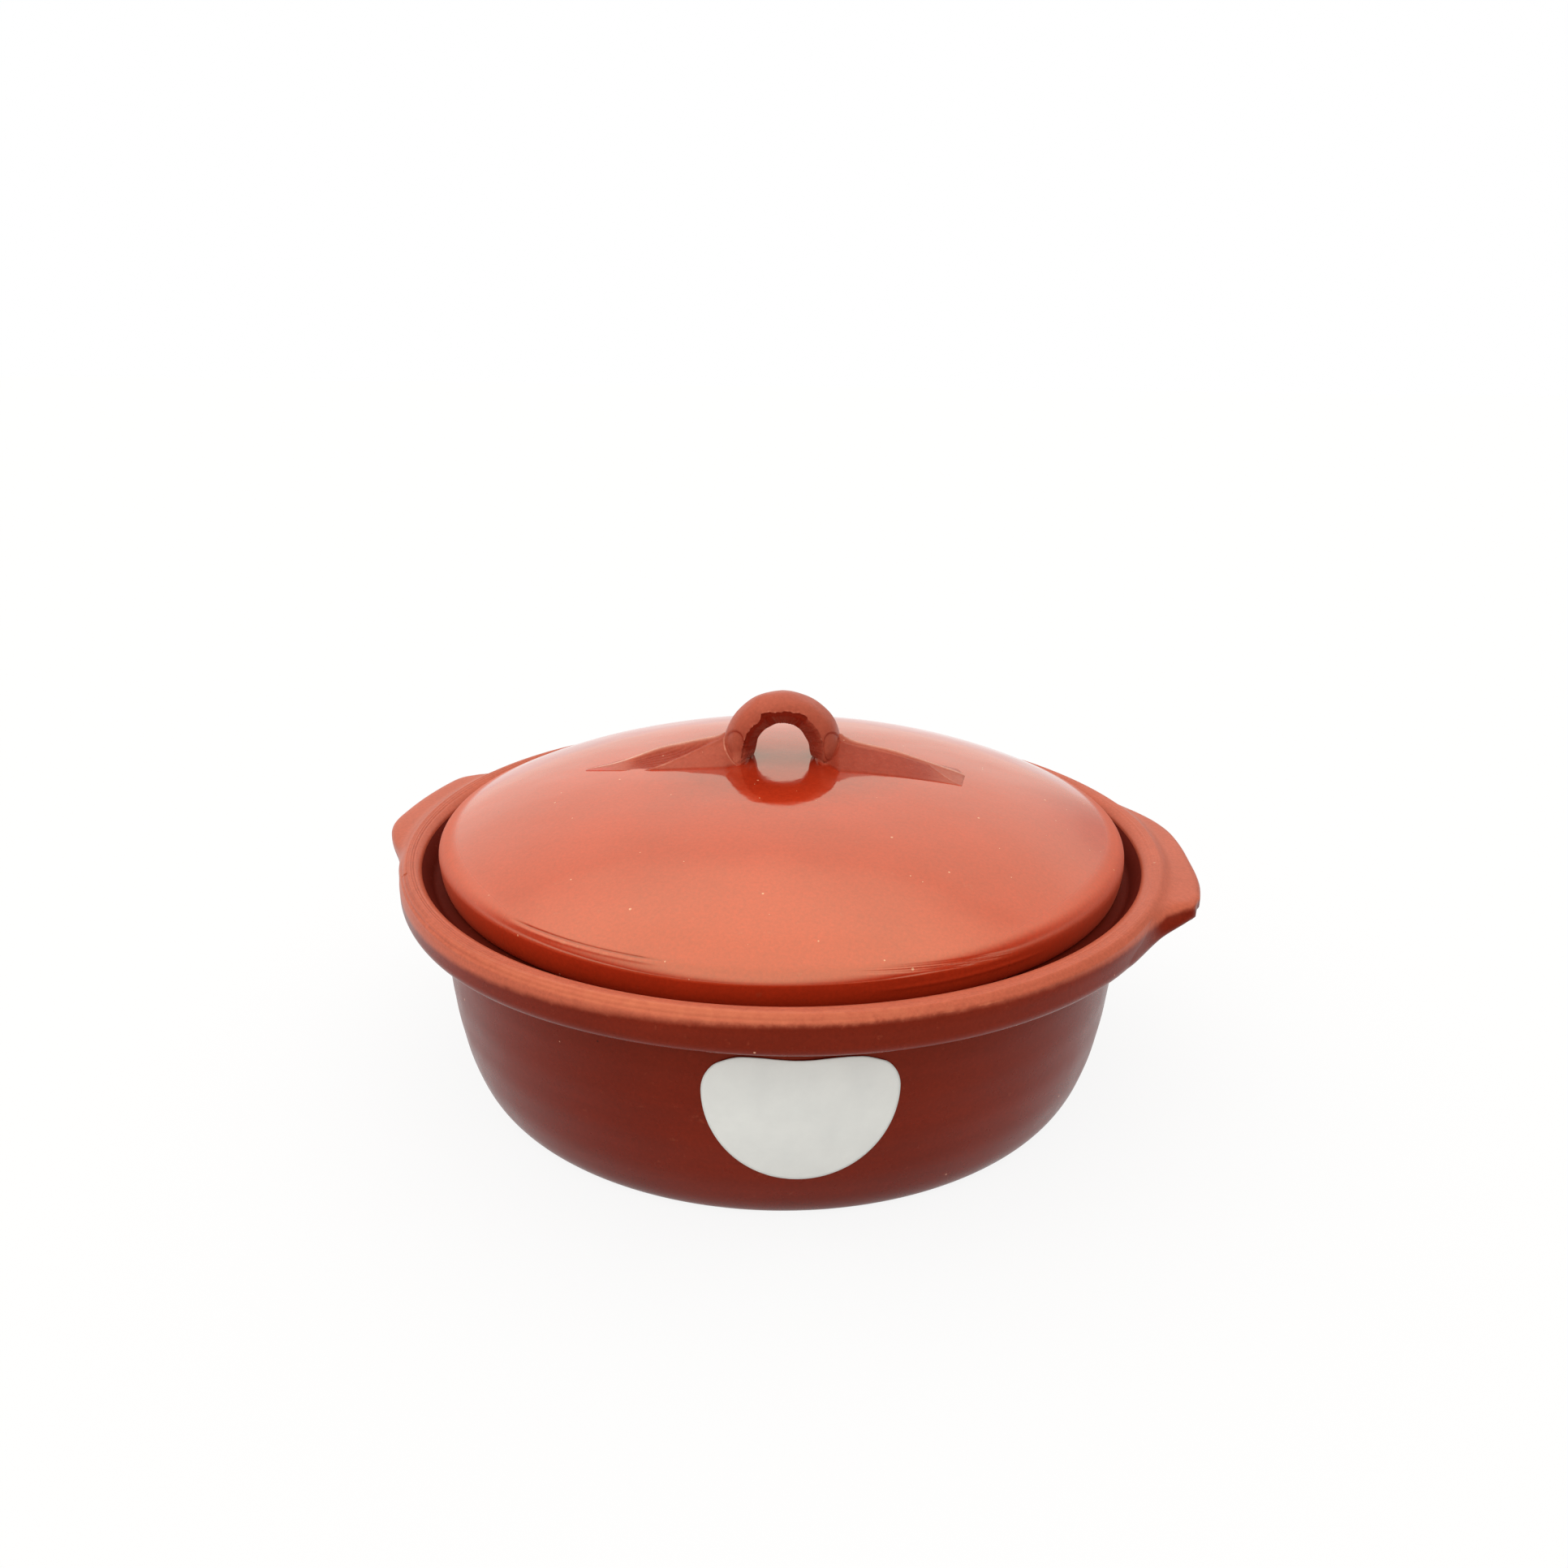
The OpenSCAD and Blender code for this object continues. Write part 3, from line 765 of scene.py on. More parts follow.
def loop_path():
    """Shares of the loop's length, outward directions and middles of its sections, in its own plane."""
    leg, arch = LOOP_Z - (APEX_Z - LOOP_BITE), math.pi * LOOP_R
    run = np.linspace(0, 2 * leg + arch, LOOP_ROWS)
    bend = np.clip((run - leg) / arch, 0, 1) * math.pi
    out = np.column_stack([-np.cos(bend), np.sin(bend)])
    centre = out * LOOP_R + [0, LOOP_Z]
    centre[:, 1] -= np.clip(leg - run, 0, None) + np.clip(run - leg - arch, 0, None)
    return run / run[-1], out, centre


def loop_sections(share):
    """Sections of the loop by distance outwards and back, their normals, how dark their cut is as bare clay
    and painted shade, and how worn they are.
    """
    turn, half = share * 2 * math.pi, np.array([LOOP_T / 2, LOOP_DEPTH / 2])
    crisp = ramp(share, *CRISP_START)
    crisp = crisp * (1 - ramp(share, *CRISP_END))
    edge = CUT_MID + CUT_SWING * np.sin(turn - 2 * math.pi * CUT_PHASE)
    edge = edge + CUT_RAG * crisp * ripple(turn, (6, 11, 17, 26, 43), 61) + np.interp(share, *zip(*CUT_STEPS))
    start = -np.arccos(edge / half[0])[:, None]
    along = np.linspace(0, 1, SKIN_COLUMNS)[None, :]
    around = start + (math.pi + math.radians(CUT_END) - start) * along
    power = np.where((around > math.pi / 2) & (around < math.pi), INNER_FULL, 2)
    flat = np.stack([np.sign(f(around)) * np.abs(f(around)) ** (2 / power) for f in (np.cos, np.sin)], -1)
    skin = flat * half
    skin_normal = np.sign(flat) * np.abs(flat) ** (power[..., None] - 1) / half
    skin_normal /= np.linalg.norm(skin_normal, axis=-1)[..., None]
    first, last = skin[:, :1], skin[:, -1:]
    chord = np.linalg.norm(last - first, axis=-1)[..., None]
    across = np.linspace(0, 1, CUT_COLUMNS + 2)[1:-1][None, :]
    cut = last + (first - last) * across[..., None]
    heading = (last - first) / chord
    cut_normal = np.broadcast_to(np.stack([-heading[..., 1], heading[..., 0]], -1), cut.shape)

    share, crisp = share[:, None], crisp[:, None]
    burr = BURR_MEAN + BURR_VARIES * ripple(turn, (8, 19, 31, 57), 62)[:, None]
    burr = np.clip(burr, BURR_LEAST, BURR_MOST) * crisp
    skin_move = BURR_H * burr * bell(along * SKIN_RUN, BURR_W)
    skin_move = skin_move + LOOP_SWAY * ripple(turn, (3, 5, 8), 63)[:, None]
    for depth, count, twist in FLATS:
        skin_move = skin_move + depth * np.sin(count * 2 * math.pi * along + twist * share)
    below = (1 - across) * chord[..., 0]
    cut_move = -CUT_RECESS * (RECESS_LEAST + (1 - RECESS_LEAST) * crisp) * bell(below - RECESS_AT, RECESS_W)
    sway = LOOP_SWAY * ripple(turn, (13, 23, 37), 64)[:, None]
    cut_move = cut_move + sway * np.sin(CUT_WAVES * across + CUT_TURN * share)
    normal = np.concatenate([skin_normal, cut_normal], 1)
    local = np.concatenate([skin, cut], 1) + normal * np.concatenate([skin_move, cut_move], 1)[..., None]
    soft = BARE_SHADE_LEAST * smoothstep(below / BARE_SHADE_RUN)
    bare_and_shaded = np.concatenate([np.zeros_like(skin_move), soft + (1 - soft) * crisp], 1)
    worn = BURR_WEAR * burr * bell(along * SKIN_RUN, BURR_WEAR_W)
    return local, normal, bare_and_shaded, np.concatenate([worn, np.zeros_like(cut_move)], 1)


def make_loop(material):
    share, out, centre = loop_path()
    local, normal, bare_and_shaded, burr_worn = loop_sections(share)
    splay = SPLAY * smoothstep((SPLAY_H - (centre[:, 1] - APEX_Z)) / SPLAY_FADE)[:, None]
    outwards = local[..., 0] * np.where(local[..., 0] < 0, 1 - splay, 1)
    x = centre[:, :1] + out[:, :1] * outwards
    z = centre[:, 1:] + out[:, 1:] * outwards
    y = local[..., 1]
    low = smoothstep((FLARE_H - (z - dome_z(np.hypot(x, y)))) / FLARE_FADE)
    y = np.where(y < 0, y * (1 + np.where(x < 0, LEFT_FLARE, RIGHT_FLARE) * low), y)
    move, wet, worn = foot_marks(x, y, z)
    foot = smoothstep(1 - (z - dome_z(np.hypot(x, y))) / CREVICE_H)
    move = move - CREVICE * foot
    rings = np.stack([x + out[:, :1] * normal[..., 0] * move, y + normal[..., 1] * move,
                      z + out[:, 1:] * normal[..., 0] * move], -1)
    points, faces = closed_loft(rings)
    return piece("clay_loop", loop_frame(points), faces, "lid", "lid_loop", "loop_glaze", material,
                 wet=np.maximum.reduce([wet, bare_and_shaded, CREVICE_SHADE * foot]), worn=np.maximum(worn, burr_worn))


class Fin(NamedTuple):
    """Fin of clay smeared from a foot of the loop along the dome, by its side, length, share of width at its
    tip, width to the front at its foot, strength of the painted highlight on its crest, sag of the crest at
    the loop, share of its height that falls away towards the tip, slant of its end, and share in which its
    tip takes the dome's colour."""

    side: int
    length: float
    tip: float
    foot_ahead: float
    crest_highlight: float
    crest_sag: float = 0.0
    crest_fall: float = 0.0
    end_skew: float = 0.0
    run_out: float = 0.0


LEFT_FIN = Fin(-1, 58.0, 0.04, 11.5, 0.9, crest_sag=0.7, crest_fall=0.85, run_out=1.0)
RIGHT_FIN = Fin(1, 50.0, 0.75, 8.5, 0.6, end_skew=2.0)
ROOT_ROWS = 170
ROOT_COLUMNS = 101
COLUMN_POWER = 1.3
TOE_ROWS, TOE_KEPT = 8, 0.96
FOOT_AHEAD_RUN = 6.0
CREST_SOFT = 0.05
CREST_SWAY, CREST_WAVES = 0.03, 13
CREST_SAG_RUN = 14.0
CREST_FALL = (0.45, 0.45)
CREST_HIGHLIGHT_W, CREST_HIGHLIGHT_SPAN = 1.2, (0.1, 1.2, 0.2)
LEG_FILLET_H, LEG_FILLET_RUN = 1.2, 1.8
ROOT_FILLET, ROOT_LOWEST = 1.0, -0.25
SIDE_SINK, SIDE_SINK_START = 0.5, (0.93, 0.07)
TIP_SINK, TIP_SINK_START = 0.7, (0.97, 0.03)
SKEW_START = (0.8, 0.2)
PRESS_SHARE = 0.5
# Where a fin takes the dome's colour: along its base and over the low part of its tip
GROUND_BASE, GROUND_START = 0.8, (0.88, 0.1)
RUN_OUT_START, RUN_OUT_LOW = (0.68, 0.25), (0.25, 0.35)
# Left fin: a hollow between its crest and a ridge that slants from the base up to the crest, by shares of the
# fin's length and of its front flank, with a lip and wrinkles, painted shade in it and along the base, and a
# darker flank
HOLLOW_FROM, HOLLOW_TO, HOLLOW_END = 0.1, 0.58, 0.68
HOLLOW_INSET, HOLLOW_SOFT = 0.04, 0.14
HOLLOW_HIGH, HOLLOW_BEND, HOLLOW_DEPTH, HOLLOW_SHADE = 0.16, 1.15, 1.1, 0.75
HOLLOW_FADE, HOLLOW_TOP = 0.15, (0.05, 0.22)
RIDGE_LIP_H, RIDGE_LIP_PAST, RIDGE_LIP_W, RIDGE_LIP_SOFT = 0.2, 0.03, 0.035, 0.06
RIDGE_WEAR, RIDGE_WEAR_START = 0.35, (0.2, 0.25)
WRINKLE_H, WRINKLES, WRINKLE_SLANT, WRINKLE_SWING, WRINKLE_SWINGS = 0.15, 60, 0.75, 5, 11
BASE_SHADE, BASE_SHADE_START = 0.5, (0.86, 0.08)
FLANK_DARK, FLANK_DARK_END = 0.3, (0.5, 0.2)
# Right fin: a seam below its crest, darker at the seam and below it, and an end that was cut off along a
# slanting line and painted lighter as a painted highlight
SEAM_AT, SEAM_W, SEAM_DEPTH, SEAM_DARK = 0.15, 0.02, 0.18, 0.35
SEAM_SPAN, SEAM_SWING, SEAM_SWINGS = (0.05, 0.75, 0.2), 0.03, 14
UNDER_SEAM_DARK, UNDER_SEAM_SPAN, UNDER_SEAM_FADE = 0.7, (0.02, 0.8, 0.2), 0.1
END_HIGH, END_LOW = 0.7, 0.97
END_LIP_H, END_LIP_W, END_LIP_START, END_LIP_WEAR = 0.12, 0.012, (0.08, 0.1), 0.3
END_DEPTH, END_FADE, END_TOP, END_HIGHLIGHT = 0.15, 0.06, (0.02, 0.15), 0.22


def left_root_marks(s, u):
    """Change of height, darker colour, partly painted shade, wear and paleness of the left fin's front flank.
    """
    fall = np.clip((s - HOLLOW_FROM) / (HOLLOW_TO - HOLLOW_FROM), 0, 2)
    ridge_at = HOLLOW_HIGH + (1 - HOLLOW_HIGH) * fall ** HOLLOW_BEND
    hollow = span(s, HOLLOW_FROM + HOLLOW_INSET, HOLLOW_END, HOLLOW_SOFT)
    hollow = hollow * smoothstep((ridge_at - u) / HOLLOW_FADE) * ramp(u, *HOLLOW_TOP)
    lip = bell(u - ridge_at - RIDGE_LIP_PAST, RIDGE_LIP_W) * span(s, HOLLOW_FROM, HOLLOW_TO, RIDGE_LIP_SOFT)
    wrinkle = np.sin(WRINKLES * (u - WRINKLE_SLANT * s) + WRINKLE_SWING * np.sin(WRINKLE_SWINGS * s))
    wet = np.maximum(BASE_SHADE * ramp(u, *BASE_SHADE_START), FLANK_DARK)
    wet = np.maximum(HOLLOW_SHADE * hollow, wet * (1 - ramp(s, *FLANK_DARK_END)))
    worn = RIDGE_WEAR * lip * ramp(s, *RIDGE_WEAR_START)
    change = RIDGE_LIP_H * lip - HOLLOW_DEPTH * hollow + WRINKLE_H * wrinkle * hollow
    return change, wet, worn, np.zeros_like(lip)


def right_root_marks(s, u):
    """Change of height, darkening at the seam, wear, and a painted highlight on the cut end of the right
    fin's front flank.
    """
    end_at = END_HIGH + (END_LOW - END_HIGH) * u
    lip = bell(s - end_at, END_LIP_W) * ramp(u, *END_LIP_START)
    cut = smoothstep((s - end_at) / END_FADE) * ramp(u, *END_TOP)
    seam = bell(u - SEAM_AT - SEAM_SWING * np.sin(SEAM_SWINGS * s), SEAM_W) * span(s, *SEAM_SPAN)
    wet = UNDER_SEAM_DARK * span(s, *UNDER_SEAM_SPAN) * ramp(u, SEAM_AT, UNDER_SEAM_FADE)
    wet = np.maximum(SEAM_DARK * seam, wet * (1 - cut))
    return END_LIP_H * lip - SEAM_DEPTH * seam - END_DEPTH * cut, wet, END_LIP_WEAR * lip, END_HIGHLIGHT * cut


def make_root(name, node, fin, flank_marks, material):
    """Fin of clay: rows of points across it, from under the loop's leg to its tip, over a sunken bottom."""
    toe = np.linspace(-TOE_KEPT * ROOT_TOE, 0, TOE_ROWS + 1)[:-1]
    out = np.concatenate([toe, np.linspace(0, fin.length, ROOT_ROWS)])[:, None]
    s = np.clip(out / fin.length, 0, 1)
    swell = np.sqrt(1 - np.clip(-out / ROOT_TOE, 0, 1) ** 2)
    full = swell * (1 - (1 - fin.tip) * s ** TAPER_POWER)
    ahead = ROOT_W / 2 + ROOT_LEAN + ROOT_SPREAD * s
    ahead = full * (fin.foot_ahead + (ahead - fin.foot_ahead) * smoothstep(out / FOOT_AHEAD_RUN))
    behind = full * (ROOT_W / 2 - ROOT_LEAN)
    q = np.linspace(-1, 1, ROOT_COLUMNS)[None, :]
    q = np.sign(q) * np.abs(q) ** COLUMN_POWER
    u, front = np.abs(q), q < 0
    y = -ROOT_DRIFT * s ** DRIFT_POWER + np.where(front, ahead, behind) * q
    height = swell * ROOT_H * (1 - s) ** CREST_POWER * (1 + CREST_SWAY * np.sin(CREST_WAVES * s + fin.side))
    height = height - fin.crest_sag * np.exp(-np.clip(out, 0, None) / CREST_SAG_RUN)
    height = height * (1 - fin.crest_fall * ramp(s, *CREST_FALL))
    rise = height * (1 - np.hypot(u, CREST_SOFT) ** RIDGE_POWER)
    gap = LOOP_T / 2 * (np.hypot(out / (LOOP_T / 2), y / (LOOP_DEPTH / 2)) - 1)
    rise = rise + LEG_FILLET_H * np.exp(-np.clip(gap, 0, None) / LEG_FILLET_RUN) * (1 - u)
    change, *flank = (np.where(front, values, 0) for values in flank_marks(s, u))
    rise = smooth_max(rise + change, np.full_like(rise, ROOT_LOWEST), ROOT_FILLET)
    rise = rise - SIDE_SINK * ramp(u, *SIDE_SINK_START)
    rise = rise - TIP_SINK * ramp(s, *TIP_SINK_START)
    x = fin.side * (LOOP_R + out + fin.end_skew * ramp(s, *SKEW_START) * (1 - u))
    dome = dome_z(np.hypot(x, y))
    press, foot_wet, foot_worn = foot_marks(x, y, dome + rise)
    top = np.stack([x, y - PRESS_SHARE * press, dome + rise + PRESS_SHARE * press], -1)
    bottom = top[:, ::-1].copy()
    bottom[..., 2] = (dome - LOOP_BITE)[:, ::-1]
    points, faces = closed_loft(np.concatenate([top, bottom[:, 1:-1]], 1))
    run_out = ramp(s, *RUN_OUT_START) * ramp(u, *RUN_OUT_LOW)
    ground = np.maximum(GROUND_BASE * ramp(u, *GROUND_START), fin.run_out * run_out)
    # The pale crest line, and the right fin's pale cut end, are painted highlights
    crest = fin.crest_highlight * bell(u * ROOT_W / 2, CREST_HIGHLIGHT_W) * span(s, *CREST_HIGHLIGHT_SPAN)
    wet, worn, pale = (np.maximum(a, b) for a, b in zip(flank, (foot_wet, foot_worn, crest)))
    marks = {"wet": wet, "worn": worn, "ground": ground, "crest": pale}
    marks = {key: np.pad(values, ((0, 0), (0, ROOT_COLUMNS - 2))) for key, values in marks.items()}
    return piece(name, loop_frame(points), faces, "lid", node, "loop_glaze", material, **marks)


# Label: its points and rows, droops along its top edge, waves of the sheet, and a curl at the top
LABEL_POINTS, LABEL_ROWS, LABEL_ROW_POWER = 200, 25, 0.8
DROOP_FROM, DROOP_MEAN, DROOP_WAVE, DROOP_PITCH, DROOP_PHASE = 0.7, 0.5, 0.4, 4.4, 0.4
SHEET_LIFT, SHEET_WAVE, SHEET_PITCH_X, SHEET_PITCH_Z, SHEET_PHASE = 0.1, 0.05, 7.0, 9.0, 1.0
CURL_FROM, CURL_RUN, CURL_H, CURL_MEAN, CURL_PITCH = 0.6, 4.0, 0.3, 0.6, 3.9
LABEL_EDGE_FROM, LABEL_EDGE_THIN = 0.9, 0.06


def label_outline(count):
    """Outline of the label, a rounded shield, about its widest line."""
    shoulder = LABEL_W / 2 - LABEL_RISE
    outline = np.vstack([
        arc(0, 0, LABEL_W / 2, LABEL_FALL, 180, 360, 80)[:-1],
        arc(shoulder, 0, LABEL_RISE, LABEL_RISE, 0, 90, 24)[:-1],
        line((shoulder, LABEL_RISE), (-shoulder, LABEL_RISE), 30),
        arc(-shoulder, 0, LABEL_RISE, LABEL_RISE, 90, 180, 24)[:-1],
    ])
    closed = np.vstack([outline, outline[:1]])
    run = np.concatenate([[0], np.cumsum(np.linalg.norm(np.diff(closed, axis=0), axis=1))])
    at = np.linspace(0, run[-1], count, endpoint=False)
    return np.column_stack([np.interp(at, run, closed[:, k]) for k in (0, 1)])


def on_wall(uv, lift):
    """Points on the outside of the wall, from places on the flat label and their height above the wall."""
    z = LABEL_Z + uv[..., 1]
    r = wall_r(z)
    a = math.radians(LABEL_A) + uv[..., 0] / r
    r = r + lift + rim_share(z) * rim_out(a)
    return np.stack([r * np.cos(a), r * np.sin(a), z + rim_share(z) * rim_up(a)], -1)


def make_label(material):
    outline = label_outline(LABEL_POINTS)
    top = smoothstep((outline[:, 1] / LABEL_RISE - DROOP_FROM) / (1 - DROOP_FROM))
    outline[:, 1] -= top * (DROOP_MEAN + DROOP_WAVE * np.cos(outline[:, 0] / DROOP_PITCH + DROOP_PHASE))
    share = np.linspace(0, 1, LABEL_ROWS + 1)[1:] ** LABEL_ROW_POWER
    flat = share[:, None, None] * outline[None]
    wave = np.sin(flat[..., 0] / SHEET_PITCH_X) * np.sin(flat[..., 1] / SHEET_PITCH_Z + SHEET_PHASE)
    curl = smoothstep((flat[..., 1] - LABEL_RISE * CURL_FROM) / CURL_RUN)
    curl = curl * (CURL_MEAN + (1 - CURL_MEAN) * np.sin(flat[..., 0] / CURL_PITCH))
    lifted = SHEET_LIFT + LABEL_GLUE + SHEET_WAVE * wave + CURL_H * curl
    edge = smoothstep((np.linspace(0, 1, LABEL_ROWS) - LABEL_EDGE_FROM) / (1 - LABEL_EDGE_FROM))[:, None]
    front = on_wall(flat, lifted + LABEL_T - LABEL_EDGE_THIN * edge)
    back = on_wall(flat, lifted)
    ends = (on_wall(np.zeros(2), lifted[0].mean() + thick) for thick in (LABEL_T, 0))
    points, faces = capped(np.concatenate([front, back[::-1]]), *ends)
    return piece("paper_sticker", points, faces, "pot", "paper_label", "label_paper", material)


def feed(tree, node, **inputs):
    """Sets a node's inputs to values or links them to sockets. Keys with a leading _ set properties."""
    for key, value in inputs.items():
        if key.startswith("_"):
            setattr(node, key[1:], value)
            continue
        name = key.replace("_", " ")
        socket = node.inputs[int(key[1:])] if key[0] == "i" and key[1:].isdigit() else node.inputs[name]
        if isinstance(value, bpy.types.NodeSocket):
            tree.links.new(value, socket)
        else:
            socket.default_value = value
    return node


def add(tree, kind, **inputs):
    return feed(tree, tree.nodes.new(kind), **inputs)


def new_material(name):
    """Material with its node tree and its main shader."""
    material = bpy.data.materials.new(name)
    material.use_nodes = True
    return material, material.node_tree, material.node_tree.nodes["Principled BSDF"]


def noise(tree, place, texture):
    scale, detail, rough = texture
    node = add(tree, "ShaderNodeTexNoise", Vector=place, Scale=scale, Detail=detail, Roughness=rough)
    return node.outputs["Fac"]


def ranged(tree, value, low, high, to_low=0.0, to_high=1.0, smooth=False):
    kind = "SMOOTHSTEP" if smooth else "LINEAR"
    node = add(tree, "ShaderNodeMapRange", _interpolation_type=kind, Value=value, From_Min=low, From_Max=high,
               To_Min=to_low, To_Max=to_high)
    return node.outputs["Result"]


def calc(tree, operation, a, b=0.0):
    return add(tree, "ShaderNodeMath", _operation=operation, i0=a, i1=b).outputs["Value"]


def mixed(tree, share, a, b, blend="MIX"):
    a, b = ((*c, 1.0) if isinstance(c, tuple) else c for c in (a, b))
    return add(tree, "ShaderNodeMix", _data_type="RGBA", _blend_type=blend, i0=share, i6=a, i7=b).outputs[2]


def mixed_value(tree, share, a, b):
    return add(tree, "ShaderNodeMix", _data_type="FLOAT", i0=share, i2=a, i3=b).outputs[0]


def mark(tree, name):
    return add(tree, "ShaderNodeAttribute", _attribute_name=name).outputs["Fac"]


def spots(tree, place, channel, scale, share, size):
    """Mask of small round spots in the given share of a cell pattern's cells."""
    cells = add(tree, "ShaderNodeTexVoronoi", Vector=place, Scale=scale)
    pick = add(tree, "ShaderNodeSeparateColor", Color=cells.outputs["Color"]).outputs[channel]
    return calc(tree, "LESS_THAN", cells.outputs["Distance"], ranged(tree, pick, 1 - share, 1.0, 0.0, size))


# Noises of clay and paper by scale, detail and roughness, and the range that their values mostly keep to
PATCHES, GLOSS, RAGGED = (14.0, 4.0, 0.55), (55.0, 5.0, 0.6), (320.0, 4.0, 0.65)
STREAKS, MOTTLING = (30.0, 5.0, 0.6), (900.0, 3.0, 0.7)
WAVES, PEEL, GRAIN = (38.0, 2.0, 0.4), (420.0, 2.0, 0.5), (1700.0, 4.0, 0.7)
TONES, FIBRES = (90.0, 5.0, 0.6), (2600.0, 3.0, 0.7)
NOISE_LOW, NOISE_HIGH = 0.3, 0.7
# Marks of wet glaze and painted shade, and of worn glaze and painted highlights: how ragged they are, and the
# values between which they start
WET_AND_SHADE_EDGE, WEAR_AND_HIGHLIGHT_EDGE = (0.12, 0.05, 0.9), (0.2, 0.15, 0.75)
STREAK_SHARE = 0.16
MOTTLE_LOW, MOTTLE_HIGH = 0.88, 1.1
# Pale specks and dark pits by scale, share of cells and size
SPECKS, PITS = (260.0, 0.25, 0.11), (150.0, 0.1, 0.08)
PIT_TONE, PIT_DEPTH, PIT_STRENGTH = 0.45, 0.0001, 0.5


def ragged_mark(tree, name, ragged, rag, low, high):
    rag = ranged(tree, ragged, NOISE_LOW, NOISE_HIGH, -rag, rag)
    return ranged(tree, calc(tree, "ADD", mark(tree, name), rag), low, high)


def clay(name, deep, base, pale, wet, worn, rough, rough_var, wet_rough, specular, tint, peel, grain,
         streak=1.0, specks=SPECKS, ior=1.5, wave=0.0, zones=()):
    """Glazed clay: patchy colour, fine mottling, pale specks and small pits, with gloss that varies.

    One mark on the mesh stands for deeper glaze and for painted shade, another for wear and for painted
    highlights. Each zone is a mark, the low and high value between which it starts, how ragged it is, its
    colour and its roughness. Wave, peel and grain are heights of bumps in metres.
    """
    material, tree, shader = new_material(name)
    place = add(tree, "ShaderNodeTexCoord").outputs["Object"]
    ragged = noise(tree, place, RAGGED)
    colour = mixed(tree, ranged(tree, noise(tree, place, PATCHES), NOISE_LOW, NOISE_HIGH), deep, base)
    gloss = noise(tree, place, GLOSS)
    roughness = ranged(tree, gloss, NOISE_LOW, NOISE_HIGH, rough - rough_var, rough + rough_var)
    for zone, low, high, rag, zone_colour, zone_rough in zones:
        edge = calc(tree, "MULTIPLY_ADD", ragged, rag)
        edge.node.inputs[2].default_value = -rag / 2
        share = ranged(tree, calc(tree, "ADD", mark(tree, zone), edge), low, high, smooth=True)
        colour = mixed(tree, share, colour, zone_colour)
        roughness = mixed_value(tree, share, roughness, zone_rough)
    wetness = ragged_mark(tree, "wet", ragged, *WET_AND_SHADE_EDGE)
    colour = mixed(tree, wetness, colour, wet)
    roughness = mixed_value(tree, wetness, roughness, wet_rough)
    stretched = add(tree, "ShaderNodeMapping", Vector=place, Scale=(1.0, 1.0, streak)).outputs["Vector"]
    colour = mixed(tree, STREAK_SHARE, colour, noise(tree, stretched, STREAKS), "OVERLAY")
    fine = ranged(tree, noise(tree, place, MOTTLING), NOISE_LOW, NOISE_HIGH, MOTTLE_LOW, MOTTLE_HIGH)
    colour = mixed(tree, 1.0, colour, fine, "MULTIPLY")
    colour = mixed(tree, ragged_mark(tree, "worn", ragged, *WEAR_AND_HIGHLIGHT_EDGE), colour, worn)
    colour = mixed(tree, spots(tree, place, "Red", *specks), colour, pale)
    pits = spots(tree, place, "Green", *PITS)
    colour = mixed(tree, pits, colour, tuple(PIT_TONE * c for c in deep))
    bumped = {}
    for distance, texture in ((wave, WAVES), (peel, PEEL), (grain, GRAIN)):
        height = noise(tree, place, texture)
        bump = add(tree, "ShaderNodeBump", Strength=1.0, Distance=distance, Height=height, **bumped)
        bumped = {"Normal": bump.outputs["Normal"]}
    bump = add(tree, "ShaderNodeBump", _invert=True, Strength=PIT_STRENGTH, Distance=PIT_DEPTH, Height=pits,
               **bumped)
    feed(tree, shader, Base_Color=colour, Roughness=roughness, Specular_IOR_Level=specular,
         Specular_Tint=(*tint, 1.0), IOR=ior, Normal=bump.outputs["Normal"])
    return material


PAPER_GREY, PAPER_WHITE = (0.74, 0.765, 0.765), (0.8, 0.825, 0.82)
PAPER_ROUGH = 0.45
FIBRE_STRENGTH, FIBRE_DEPTH = 0.4, 0.00002


def paper(name):
    """Smooth white sticker paper with faint fibre and slightly worn tone."""
    material, tree, shader = new_material(name)
    place = add(tree, "ShaderNodeTexCoord").outputs["Object"]
    tone = ranged(tree, noise(tree, place, TONES), NOISE_LOW, NOISE_HIGH)
    bump = add(tree, "ShaderNodeBump", Strength=FIBRE_STRENGTH, Distance=FIBRE_DEPTH,
               Height=noise(tree, place, FIBRES))
    feed(tree, shader, Base_Color=mixed(tree, tone, PAPER_GREY, PAPER_WHITE), Roughness=PAPER_ROUGH,
         Normal=bump.outputs["Normal"])
    return material


# Camera: how far it stands back from the pot's axis, its height, and the angles fitted to the photo's view
LENS = 27.95
SENSOR = 36.0
CAMERA_BACK = 428.1
CAMERA_ASIDE = 0.6
CAMERA_HEIGHT = 251.15
CAMERA_AZIMUTH = 10.0
CAMERA_PITCH = 19.24
CAMERA_ROLL = 0.52


def make_camera():
    camera = bpy.data.objects.new("camera", bpy.data.cameras.new("camera"))
    camera.data.lens = LENS
    camera.data.sensor_width = SENSOR
    turn = Matrix.Rotation(math.radians(CAMERA_AZIMUTH), 4, "Z")
    place = turn @ Vector((CAMERA_ASIDE, -CAMERA_BACK, CAMERA_HEIGHT)) * MM
    tilt = Matrix.Rotation(math.radians(90 - CAMERA_PITCH), 4, "X")
    roll = Matrix.Rotation(math.radians(CAMERA_ROLL), 4, "Z")
    camera.matrix_world = Matrix.Translation(place) @ turn @ tilt @ roll
    bpy.context.scene.collection.objects.link(camera)
    bpy.context.scene.camera = camera


